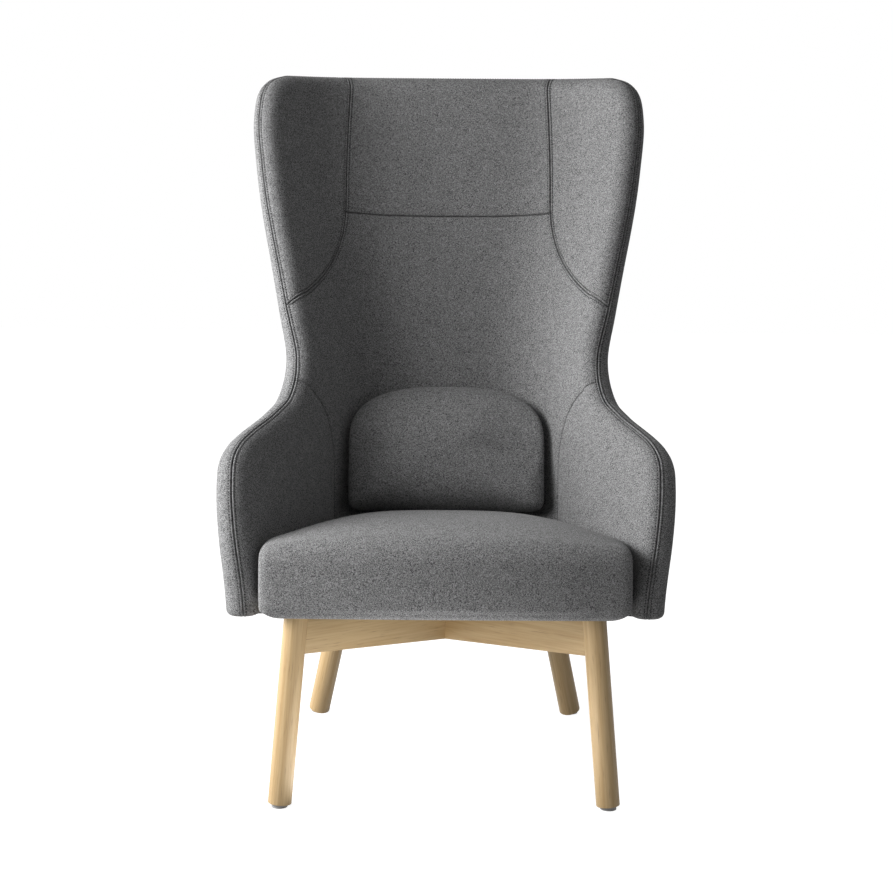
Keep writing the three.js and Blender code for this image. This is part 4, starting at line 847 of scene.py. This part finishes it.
def pillowMesh(foot):
    c, s = math.cos(pillowTurn), math.sin(pillowTurn)
    reachX = np.linspace(0, pillow["width"] / 2, pillow["bendSteps"])
    bend = wallBend(reachX, np.full_like(reachX, foot.z + pillow["height"] / 2 * c))
    sectors = pillow["sectors"]
    angle = 2 * math.pi * (np.arange(sectors) + 0.5) / sectors
    across, up = np.cos(angle), np.sin(angle)
    power = np.where(up > 0, pillow["corner"], pillow["footCorner"])
    reach = (np.abs(across) ** power + np.abs(up) ** power) ** (-1 / power)
    outline = np.stack([pillow["width"] / 2 * across * reach, pillow["height"] / 2 * up * reach], -1)
    rng = np.random.default_rng(pillow["seed"])
    folds = sum(rng.uniform(0.4, 1) * np.sin(angle * k + rng.uniform(0, 6.3)) for k in pillow["folds"]) / 2
    shares = np.sin(np.linspace(0, 1, pillow["rings"] + 1)[1:] * math.pi / 2) ** pillow["ringPower"]
    verts, faces, seamRing = [], [], None
    for way, depth in ((-1, pillow["frontDepth"]), (1, pillow["backDepth"])):
        pole = len(verts)
        verts.append((0, way * depth, 0))
        footFlat = (pillow["footFlat"] - pillow["flat"]) * (way < 0)
        flat = pillow["flat"] + footFlat * smoothStep(-up, 0, pillow["footRise"])
        rings = []
        for share in shares[:-1]:
            swell = depth * (1 - share ** flat) ** pillow["power"]
            near = math.exp(-((share - pillow["puckerPlace"]) / pillow["puckerWidth"]) ** 2)
            swell = swell + pillow["pucker"] * folds * near
            rings.append(range(len(verts), len(verts) + sectors))
            verts += [(x * share, way * y, z * share) for (x, z), y in zip(outline, swell)]
        if seamRing is None:
            seamRing = range(len(verts), len(verts) + sectors)
            inner = 1 - pillow["seamTuck"] / np.linalg.norm(outline, axis=1)
            verts += [(x * k, 0, z * k) for (x, z), k in zip(outline, inner)]
        rings.append(seamRing)
        for q in range(sectors):
            n = (q + 1) % sectors
            fan = [pole, rings[0][q], rings[0][n]]
            quads = [[a[q], b[q], b[n], a[n]] for a, b in zip(rings, rings[1:])]
            faces += [face if way < 0 else face[::-1] for face in (fan, *quads)]
    x, y, z = np.array(verts, float).T
    y, z = y - np.interp(np.abs(x), reachX, bend), z + pillow["height"] / 2
    return np.stack([x, y * c + z * s + foot.y, -y * s + z * c + foot.z], -1), faces


# seats the pillow where the CAD part's cover has its back and its foot
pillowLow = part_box("lumbar_pillow_cover")[0]
pillowFoot = Vector((0, 0, 0))
for _ in range(2):
    points, faces = pillowMesh(pillowFoot)
    pillowFoot += Vector((0, pillowLow.y - points[:, 1].min(), pillowLow.z - points[:, 2].min()))
points, faces = pillowMesh(pillowFoot)
finishCloth(meshObject("lumbar_pillow_upholstery", points, faces), ["lumbar_pillow_cover", "lumbar_pillow_filling"],
            "lumbar_pillow", None)
print("pillow made")

# black lining cloths, stapled taut under the boards along the CAD linings' outlines
lining = {
    "inset": {"base_lining": 0.0115, "seat_lining": -0.005}, "drop": {"base_lining": 0.0, "seat_lining": 0.0007},
    "edge": 0.008, "grid": 0.011, "gridGap": 0.006, "thickness": 0.0005, "weld": 0.00005,
    "underside": -0.9, "sag": 0.0007, "sagReach": 0.03, "hem": 0.0004, "hemReach": 0.004,
}
baseNormal = Vector((0, tiltSin, tiltCos))


def undersideLoops(node):
    bm = bmesh.new()
    bm.from_mesh(frame["nodes"][node].data)
    bmesh.ops.remove_doubles(bm, verts=bm.verts, dist=lining["weld"])
    bmesh.ops.delete(bm, geom=[f for f in bm.faces if f.normal.dot(baseNormal) > lining["underside"]], context="FACES")
    level = float(np.mean([levelOf(np.array(v.co[:])) for v in bm.verts]))
    after = {loop.vert.index: loop.link_loop_next.vert.index for face in bm.faces for loop in face.loops
             if len(loop.edge.link_faces) == 1}
    bm.verts.ensure_lookup_table()
    loops = []
    while after:
        chain = [next(iter(after))]
        while after[chain[-1]] != chain[0]:
            chain.append(after.pop(chain[-1]))
        after.pop(chain[-1])
        spots = np.array([bm.verts[k].co[:] for k in chain])
        loops.append(np.stack([spots[:, 0], backOnBase(spots)], -1))
    bm.free()
    return loops, level


def evenly(loop, spacing):
    closed = np.concatenate([loop, loop[:1]])
    arc = arcOf(closed)
    return readAt(np.linspace(0, arc[-1], max(int(arc[-1] / spacing), 8), endpoint=False), arc, closed)


def loopArea(loop):
    ends = np.roll(loop, -1, axis=0)
    return float(np.sum(loop[:, 0] * ends[:, 1] - ends[:, 0] * loop[:, 1]) / 2)


def liningCloth(node, name):
    loops, level = undersideLoops(node)
    outer = evenly(max(loops, key=lambda one: abs(loopArea(one))), lining["edge"])
    side = unit(np.roll(outer, -1, axis=0) - np.roll(outer, 1, axis=0))
    inward = np.stack([-side[:, 1], side[:, 0]], -1) * np.sign(loopArea(outer))
    outer = outer + inward * lining["inset"][node]
    low, high = outer.min(axis=0), outer.max(axis=0)
    spots = gridInside(outer, low, high, lining["grid"])
    verts, faces = triangulated(outer, spots[gapTo(outer, spots) > lining["gridGap"]])
    x, y = verts.T
    gap = gapTo(outer, verts)
    wave = np.sin(x * 31 + 1) * np.sin(y * 23 + 2) + 0.5 * np.sin(x * 70 - y * 55)
    sag = lining["sag"] * smoothStep(gap, 0, lining["sagReach"]) * (0.5 + 0.35 * wave)
    sag += lining["hem"] * (1 - smoothStep(gap, 0, lining["hemReach"]))
    obj = meshObject(name, onBase(x, y, level - lining["drop"][node] - sag), faces)
    turnOutward(obj, -baseNormal)
    smoothShade(obj)
    thicken(obj, lining["thickness"])
    declare(obj, "chair", "lining", node)
    area = abs(loopArea(outer))
    return obj


liningPieces = [liningCloth(node, node + "_cloth") for node, restsOn in
                (("base_lining", ["base_board", "shell_board"]), ("seat_lining", ["seat_pan"]))]
print("linings made")

# oak legs and their glides: turned dowels with a rounded foot, cut to the tilted base or to the floor
legs = {
    "radius": 0.019, "rounding": 0.0014, "segments": 5, "length": 0.36,
    "splays": {"front": (5, 3.4), "rear": (12, 14)}, "tops": {"front": 0.0145, "rear": -0.0003},
}
glides = {"radius": 0.013, "rounding": 0.0009, "segments": 3, "top": 0.0055, "gap": 0.0003, "foot": -0.006}
turned = {"sides": 72, "smoothAngle": 35}


def turnedPiece(name, size, low, high):
    clearSelection()
    bpy.ops.mesh.primitive_cylinder_add(vertices=turned["sides"], radius=size["radius"], depth=high - low,
                                        location=(0, 0, (low + high) / 2))
    obj = bpy.context.object
    obj.name = name
    bpy.ops.object.transform_apply(location=True)
    bpy.ops.object.mode_set(mode="EDIT")
    bpy.ops.mesh.select_mode(type="EDGE")
    bpy.ops.mesh.select_all(action="DESELECT")
    bm = bmesh.from_edit_mesh(obj.data)
    for edge in bm.edges:
        if all(abs(v.co.z - low) < 1e-6 for v in edge.verts):
            edge.select_set(True)
    bm.select_flush_mode()
    bmesh.update_edit_mesh(obj.data)
    bpy.ops.mesh.bevel(offset=size["rounding"], segments=size["segments"], affect="EDGES")
    bpy.ops.object.mode_set(mode="OBJECT")
    return obj


def placeAndCut(obj, foot, axis, point, normal):
    activate(obj)
    obj.matrix_world = Matrix.Translation(foot) @ axis.to_track_quat("Z", "Y").to_matrix().to_4x4()
    bpy.ops.object.transform_apply(location=True, rotation=True, scale=True)
    bpy.ops.object.mode_set(mode="EDIT")
    bpy.ops.mesh.select_all(action="SELECT")
    bpy.ops.mesh.bisect(plane_co=point, plane_no=normal, use_fill=True, clear_outer=True)
    bpy.ops.object.mode_set(mode="OBJECT")
    bpy.ops.object.shade_smooth_by_angle(angle=math.radians(turned["smoothAngle"]))


oakPieces, glidePieces = [], []
basePoint = Vector((0, shift, basePlane(shift)))
for corner in ("front_left", "front_right", "rear_left", "rear_right"):
    end, sideName = corner.split("_")
    across, along = (math.tan(math.radians(angle)) for angle in legs["splays"][end])
    axis = Vector((-sides[sideName] * across, along if end == "front" else -along, 1)).normalized()
    foot = mounts["foot_" + corner]
    leg = turnedPiece("leg_" + corner + "_oak", legs, glides["top"], legs["length"])
    placeAndCut(leg, foot, axis, basePoint + baseNormal * legs["tops"][end], baseNormal)
    declare(leg, "chair", "oak", "leg_" + corner)
    oakPieces.append((leg, axis))
    glide = turnedPiece("glide_" + corner + "_disc", glides, glides["foot"], glides["top"] - glides["gap"])
    placeAndCut(glide, foot, axis, (0, 0, 0), (0, 0, -1))
    declare(glide, "chair", "glide_plastic", "glide_" + corner)
    glidePieces.append(glide)
print("legs made")

# the cross beams keep the CAD's half lap and tenons, with their edges eased
beams = {"weld": 0.00002, "flatAngle": 1, "ease": 0.0012, "segments": 3, "easedAngle": 50, "smoothAngle": 30}


def easedCopy(node, name):
    obj = newObject(name, frame["nodes"][node].data.copy())
    activate(obj)
    bpy.ops.object.mode_set(mode="EDIT")
    bpy.ops.mesh.select_all(action="SELECT")
    bpy.ops.mesh.remove_doubles(threshold=beams["weld"])
    bpy.ops.mesh.dissolve_limited(angle_limit=math.radians(beams["flatAngle"]))
    bpy.ops.object.mode_set(mode="OBJECT")
    modifier = obj.modifiers.new("easedEdges", "BEVEL")
    modifier.width, modifier.segments = beams["ease"], beams["segments"]
    modifier.limit_method, modifier.angle_limit = "ANGLE", math.radians(beams["easedAngle"])
    modifier.use_clamp_overlap = True
    applyModifiers(obj)
    bpy.ops.object.shade_smooth_by_angle(angle=math.radians(beams["smoothAngle"]))
    return obj


for sideName, side in sides.items():
    beam = "cross_beam_" + sideName
    piece = easedCopy(beam, beam + "_oak")
    low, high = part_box(beam)
    run = Vector((high.x - low.x, (low.y - high.y) * side, 0)).normalized()
    run.z = -math.tan(tiltAngle) * run.y
    declare(piece, "chair", "oak", beam)
    oakPieces.append((piece, run.normalized()))
print("beams made")


# materials

def newMaterial(name):
    material = bpy.data.materials.new(name)
    material.use_nodes = True
    shader = next(n for n in material.node_tree.nodes if n.type == "BSDF_PRINCIPLED")
    return material, material.node_tree, shader


def paint(pieces, material):
    for obj in pieces:
        obj.data.materials.clear()
        obj.data.materials.append(material)


# gives a node's inputs their values: another node's output is linked, a plain value is set
def feed(tree, node, values):
    for key, value in values.items():
        if hasattr(value, "is_output"):
            tree.links.new(value, node.inputs[key])
        elif value is not None:
            node.inputs[key].default_value = value


def addNode(tree, kind, values=None, **settings):
    node = tree.nodes.new(kind)
    for key, value in settings.items():
        setattr(node, key, value)
    feed(tree, node, values or {})
    return node


def mixColor(tree, factor, a, b):
    return addNode(tree, "ShaderNodeMix", {0: factor, 6: a, 7: b}, data_type="RGBA", blend_type="MIX").outputs[2]


def mathNode(tree, operation, a, b=None, c=None, clamp=False):
    return addNode(tree, "ShaderNodeMath", {0: a, 1: b, 2: c}, operation=operation, use_clamp=clamp).outputs[0]


def scaled(tree, value, slope, start, clamp=False):
    return mathNode(tree, "MULTIPLY_ADD", value, slope, start, clamp)


def noise(tree, vector, scale, detail=2.0, roughness=0.5, distortion=0.0):
    return addNode(tree, "ShaderNodeTexNoise", {"Vector": vector, "Scale": scale, "Detail": detail,
                                                "Roughness": roughness, "Distortion": distortion}).outputs["Fac"]


def mapped(tree, vector, scale=(1, 1, 1), turn=(0, 0, 0), spot=(0, 0, 0)):
    return addNode(tree, "ShaderNodeMapping", {"Vector": vector, "Scale": scale, "Rotation": turn,
                                               "Location": spot}).outputs["Vector"]


def objectSpace(tree):
    return addNode(tree, "ShaderNodeTexCoord").outputs["Object"]


def newGroup(name, colors):
    group = bpy.data.node_groups.new(name, "ShaderNodeTree")
    group.interface.new_socket("Vector", in_out="INPUT", socket_type="NodeSocketVector")
    for label, value in colors.items():
        socket = group.interface.new_socket(label, in_out="INPUT", socket_type="NodeSocketColor")
        socket.default_value = value
    for label, kind in (("Color", "Color"), ("Height", "Float"), ("Roughness", "Float")):
        group.interface.new_socket(label, in_out="OUTPUT", socket_type="NodeSocket" + kind)
    return group, group.nodes.new("NodeGroupInput").outputs, group.nodes.new("NodeGroupOutput")


def finishShader(tree, shader, values, height, bump, distance):
    feed(tree, shader, values)
    bumped = addNode(tree, "ShaderNodeBump", {"Strength": bump, "Distance": distance, "Height": height})
    tree.links.new(bumped.outputs["Normal"], shader.inputs["Normal"])


wool = {
    "colors": {"Dark": (0.020, 0.020, 0.021, 1), "Light": (0.395, 0.395, 0.397, 1)},
    # thread: the stitch thread is painted near black, its own colour together with the painted shade of the stitch
    # pits
    "thread": {"Dark": (0.012, 0.012, 0.012, 1), "Light": (0.05, 0.05, 0.05, 1)},
    # seam and seamShade: colour and strength of the painted shade in the seam valleys and stitch rows
    "seam": (0.012, 0.012, 0.012, 1), "seamShade": 0.5,
    "speckle": (700, 270, 700), "speckleSlope": (9.0, -3.95), "speckleShare": 0.55,
    "fibreUp": (1100, 1100, 330), "fibreAcross": (330, 1000, 1100), "fibreTurn": (0.2, 0, 0.1),
    "fibreSlope": (5.5, -2.7), "fibreShare": 0.45, "cloud": 55, "cloudSlope": (0.16, -0.08),
    "roughSlope": (-0.06, 0.96), "sheen": 0.12, "sheenRoughness": 0.45, "specular": 0.2,
    "speckleHeight": 0.6, "fibreHeight": 0.5, "bump": 0.5, "bumpDistance": 0.0009,
}


# felted melange wool: light and dark fibres blended in the yarn, with the weave almost closed
def feltGroup():
    group, start, end = newGroup("feltedMelange", wool["colors"])
    vector = start["Vector"]
    speckle = noise(group, mapped(group, vector, wool["speckle"]), 1, 3, 0.8)
    fibreUp = noise(group, mapped(group, vector, wool["fibreUp"]), 1, 2, 0.6)
    fibreAcross = noise(group, mapped(group, vector, wool["fibreAcross"], wool["fibreTurn"]), 1, 2, 0.6)
    cloud = noise(group, vector, wool["cloud"], 3, 0.5)
    sharp = scaled(group, speckle, *wool["speckleSlope"], clamp=True)
    fibre = scaled(group, mathNode(group, "MAXIMUM", fibreUp, fibreAcross), *wool["fibreSlope"], clamp=True)
    blend = scaled(group, sharp, wool["speckleShare"], mathNode(group, "MULTIPLY", fibre, wool["fibreShare"]))
    blend = mathNode(group, "ADD", blend, scaled(group, cloud, *wool["cloudSlope"]), clamp=True)
    height = mathNode(group, "MULTIPLY", fibre, wool["fibreHeight"])
    feed(group, end, {"Color": mixColor(group, blend, start["Dark"], start["Light"]),
                      "Height": scaled(group, speckle, wool["speckleHeight"], height),
                      "Roughness": scaled(group, blend, *wool["roughSlope"])})
    return group


def clothMaterial(name, group, colors):
    material, tree, shader = newMaterial(name)
    felted = addNode(tree, "ShaderNodeGroup", {"Vector": objectSpace(tree), **colors}, node_tree=group).outputs
    # painted shade: the wool is mixed towards the seam colour where the seams' valleys and stitch pits lie in shade
    depth = addNode(tree, "ShaderNodeAttribute", attribute_name="paintedSeamShade").outputs["Fac"]
    shade = mathNode(tree, "MULTIPLY", depth, wool["seamShade"])
    finishShader(tree, shader, {
        "Base Color": mixColor(tree, shade, felted["Color"], wool["seam"]), "Roughness": felted["Roughness"],
        "Sheen Weight": wool["sheen"], "Sheen Roughness": wool["sheenRoughness"],
        "Specular IOR Level": wool["specular"]}, felted["Height"], wool["bump"], wool["bumpDistance"])
    return material


felt = feltGroup()
woolMaterial = clothMaterial("greyMelangeWool", felt, wool["colors"])
paint(woolPieces, woolMaterial)
# the stitches are painted near black: thread colour and the painted shade of their pits
paint([stitching], clothMaterial("threadWithPaintedPitShade", felt, wool["thread"]))

oak = {
    "colors": {"Pale": (0.54, 0.39, 0.208, 1), "Warm": (0.42, 0.28, 0.13, 1), "Pore": (0.17, 0.10, 0.042, 1)},
    "broad": (26, 26, 1.6), "rings": (1.0, 0.6, 0.05), "streak": (290, 290, 8), "pore": (620, 620, 26),
    "ringWave": {"Scale": 26.0, "Distortion": 5.5, "Detail": 2.0, "Detail Scale": 1.2, "Detail Roughness": 0.55},
    "ringShare": 0.4, "broadShare": 0.35, "streakSlope": (2.3, -1.05), "poreSlope": (7.0, -4.35),
    "poreShare": 0.6, "streakHeight": 0.3, "roughSlope": (0.12, 0.45), "coat": 0.08, "coatRoughness": 0.35,
    "specular": 0.4, "bump": 0.3, "bumpDistance": 0.0004, "spot": (0.31, 0.17, 0.23),
}


# oak: the grain runs along the vector's z
def oakGroup():
    group, start, end = newGroup("oakGrain", oak["colors"])
    vector = start["Vector"]
    broad = noise(group, mapped(group, vector, oak["broad"]), 1, 2, 0.5, 0.6)
    rings = addNode(group, "ShaderNodeTexWave", {"Vector": mapped(group, vector, oak["rings"]), **oak["ringWave"]},
                    wave_type="BANDS", bands_direction="X").outputs["Fac"]
    streak = noise(group, mapped(group, vector, oak["streak"]), 1, 3, 0.6)
    pore = noise(group, mapped(group, vector, oak["pore"]), 1, 2, 0.5)
    blend = scaled(group, rings, oak["ringShare"], mathNode(group, "MULTIPLY", broad, oak["broadShare"]))
    blend = mathNode(group, "ADD", blend, scaled(group, streak, *oak["streakSlope"]), clamp=True)
    dark = scaled(group, pore, *oak["poreSlope"], clamp=True)
    color = mixColor(group, blend, start["Pale"], start["Warm"])
    share, height = (mathNode(group, "MULTIPLY", value, oak[key])
                     for value, key in ((dark, "poreShare"), (streak, "streakHeight")))
    feed(group, end, {"Color": mixColor(group, share, color, start["Pore"]),
                      "Height": mathNode(group, "SUBTRACT", height, dark),
                      "Roughness": scaled(group, blend, *oak["roughSlope"])})
    return group


# every piece of oak has its own spot in the wood
def oakMaterial(name, group, axis, number):
    material, tree, shader = newMaterial(name)
    turn = axis.to_track_quat("Z", "Y").inverted().to_euler()
    vector = mapped(tree, objectSpace(tree), turn=turn, spot=[v * number for v in oak["spot"]])
    grained = addNode(tree, "ShaderNodeGroup", {"Vector": vector, **oak["colors"]}, node_tree=group).outputs
    finishShader(tree, shader, {
        "Base Color": grained["Color"], "Roughness": grained["Roughness"], "Coat Weight": oak["coat"],
        "Coat Roughness": oak["coatRoughness"], "Specular IOR Level": oak["specular"]},
        grained["Height"], oak["bump"], oak["bumpDistance"])
    return material


grain = oakGroup()
for k, (piece, axis) in enumerate(oakPieces):
    paint([piece], oakMaterial(f"oak_{piece.name}", grain, axis, k))

# colour, roughness, metallic, contrast of the specks and their scale
plainLooks = {
    "plywood": ((0.50, 0.36, 0.21), 0.7, 0.0, 0.12, 160.0),
    "nearBlackBoard": ((0.022, 0.019, 0.017), 0.7, 0.0, 0.12, 160.0),
    "foam": ((0.70, 0.66, 0.55), 0.95, 0.0, 0.10, 1200.0),
    "lining": ((0.012, 0.012, 0.013), 0.85, 0.0, 0.35, 1500.0),
    "steel": ((0.52, 0.53, 0.54), 0.34, 1.0, 0.05, 700.0),
    "glide_plastic": ((0.34, 0.34, 0.345), 0.5, 0.0, 0.04, 900.0),
    "zip_plastic": ((0.10, 0.10, 0.10), 0.55, 0.0, 0.10, 900.0),
}
speckRough, speckBump, speckDistance = 0.12, 0.12, 0.0002


def plainMaterial(name, color, roughness, metallic, speck, scale):
    material, tree, shader = newMaterial(name)
    specks = noise(tree, objectSpace(tree), scale, 3, 0.6)
    dark, light = ((*(min(c * share, 1) for c in color), 1) for share in (1 - speck, 1 + speck))
    finishShader(tree, shader, {
        "Base Color": mixColor(tree, specks, dark, light),
        "Roughness": scaled(tree, specks, speckRough, roughness - speckRough / 2), "Metallic": metallic},
        specks, speckBump, speckDistance)
    return material


looks = {slot: plainMaterial(slot + "Look", *values) for slot, values in plainLooks.items()}
looks["wool"] = woolMaterial
looks["oak"] = oakMaterial("oakPlain", grain, Vector((0, 0, 1)), 0)
for subpart in frame["record"]["subparts"]:
    if subpart["node"] in frame["nodes"]:
        # the base board and seat pan get a near-black board colour
        nearBlack = subpart["node"] in ("base_board", "seat_pan")
        paint([frame["nodes"][subpart["node"]]], looks["nearBlackBoard" if nearBlack else subpart["material_slot"]])
paint(liningPieces, looks["lining"])
paint(glidePieces, looks["glide_plastic"])
print("materials made")

# camera, floor and light
view = {"distance": 3.25, "height": 1.062, "pitch": 9.36, "roll": 0.43, "focal": 1900, "width": 893, "sensor": 36}
camera = bpy.data.cameras.new("camera")
camera.sensor_width = view["sensor"]
camera.lens = view["focal"] / view["width"] * view["sensor"]
cameraObject = newObject("camera", camera)
aim = Matrix.Rotation(math.radians(90 - view["pitch"]), 4, "X") @ Matrix.Rotation(math.radians(view["roll"]), 4, "Z")
cameraObject.matrix_world = Matrix.Translation((0, -view["distance"] + shift, view["height"])) @ aim
bpy.context.scene.camera = cameraObject
studio = {
    "floorSize": 14, "floorColor": (0.35, 0.35, 0.35, 1), "floorRoughness": 0.9, "glow": 0.93, "soft": 0.23,
    "white": (1, 1, 1, 1),
}


def whiteForCamera(tree, ordinary, white):
    path = addNode(tree, "ShaderNodeLightPath").outputs
    rays = mathNode(tree, "MAXIMUM", path["Is Camera Ray"], path["Is Glossy Ray"])
    rays = mathNode(tree, "MAXIMUM", rays, path["Is Transmission Ray"])
    return addNode(tree, "ShaderNodeMixShader", {0: rays, 1: ordinary, 2: white}).outputs[0]


clearSelection()
bpy.ops.mesh.primitive_plane_add(size=studio["floorSize"], location=(0, 0, 0))
floor = bpy.context.object
floor.name = "floor"
floorMaterial, tree, shader = newMaterial("whiteFloor")
feed(tree, shader, {"Base Color": studio["floorColor"], "Roughness": studio["floorRoughness"]})
glow = addNode(tree, "ShaderNodeEmission", {"Color": studio["white"], "Strength": studio["glow"]})
added = addNode(tree, "ShaderNodeAddShader", {0: shader.outputs[0], 1: glow.outputs[0]})
output = next(n for n in tree.nodes if n.type == "OUTPUT_MATERIAL")
tree.links.new(whiteForCamera(tree, shader.outputs[0], added.outputs[0]), output.inputs["Surface"])
paint([floor], floorMaterial)

world = bpy.data.worlds.new("studio")
bpy.context.scene.world = world
world.use_nodes = True
tree = world.node_tree
tree.nodes.clear()
soft, white = (addNode(tree, "ShaderNodeBackground", {"Color": studio["white"], "Strength": strength}).outputs[0]
               for strength in (studio["soft"], 1.0))
addNode(tree, "ShaderNodeOutputWorld", {"Surface": whiteForCamera(tree, soft, white)})

# place, target, size and power
lamps = {
    "key": ((-1.9, -0.35, 1.05), (0, 0, 0.6), (0.8, 0.8), 50),
    "high": ((-1.7, -0.5, 1.7), (0, 0, 0.6), (0.8, 0.8), 22),
    "front": ((-1.8, -1.6, 1.5), (0, 0, 0.6), (0.8, 0.8), 20),
    "bounce": ((-0.04, -0.46, 0.004), (-0.04, -0.44, 1.0), (0.3, 0.5), 1.9),
}
for name, (place, target, size, power) in lamps.items():
    lamp = bpy.data.lights.new(name, "AREA")
    lamp.shape = "RECTANGLE"
    lamp.size, lamp.size_y = size
    lamp.energy = power
    lampObject = newObject(name, lamp)
    lampObject.visible_camera = False
    turn = (Vector(target) - Vector(place)).to_track_quat("-Z", "Y")
    lampObject.matrix_world = Matrix.Translation(place) @ turn.to_matrix().to_4x4()
bpy.context.scene.view_settings.view_transform = "Standard"
print("scene lit")
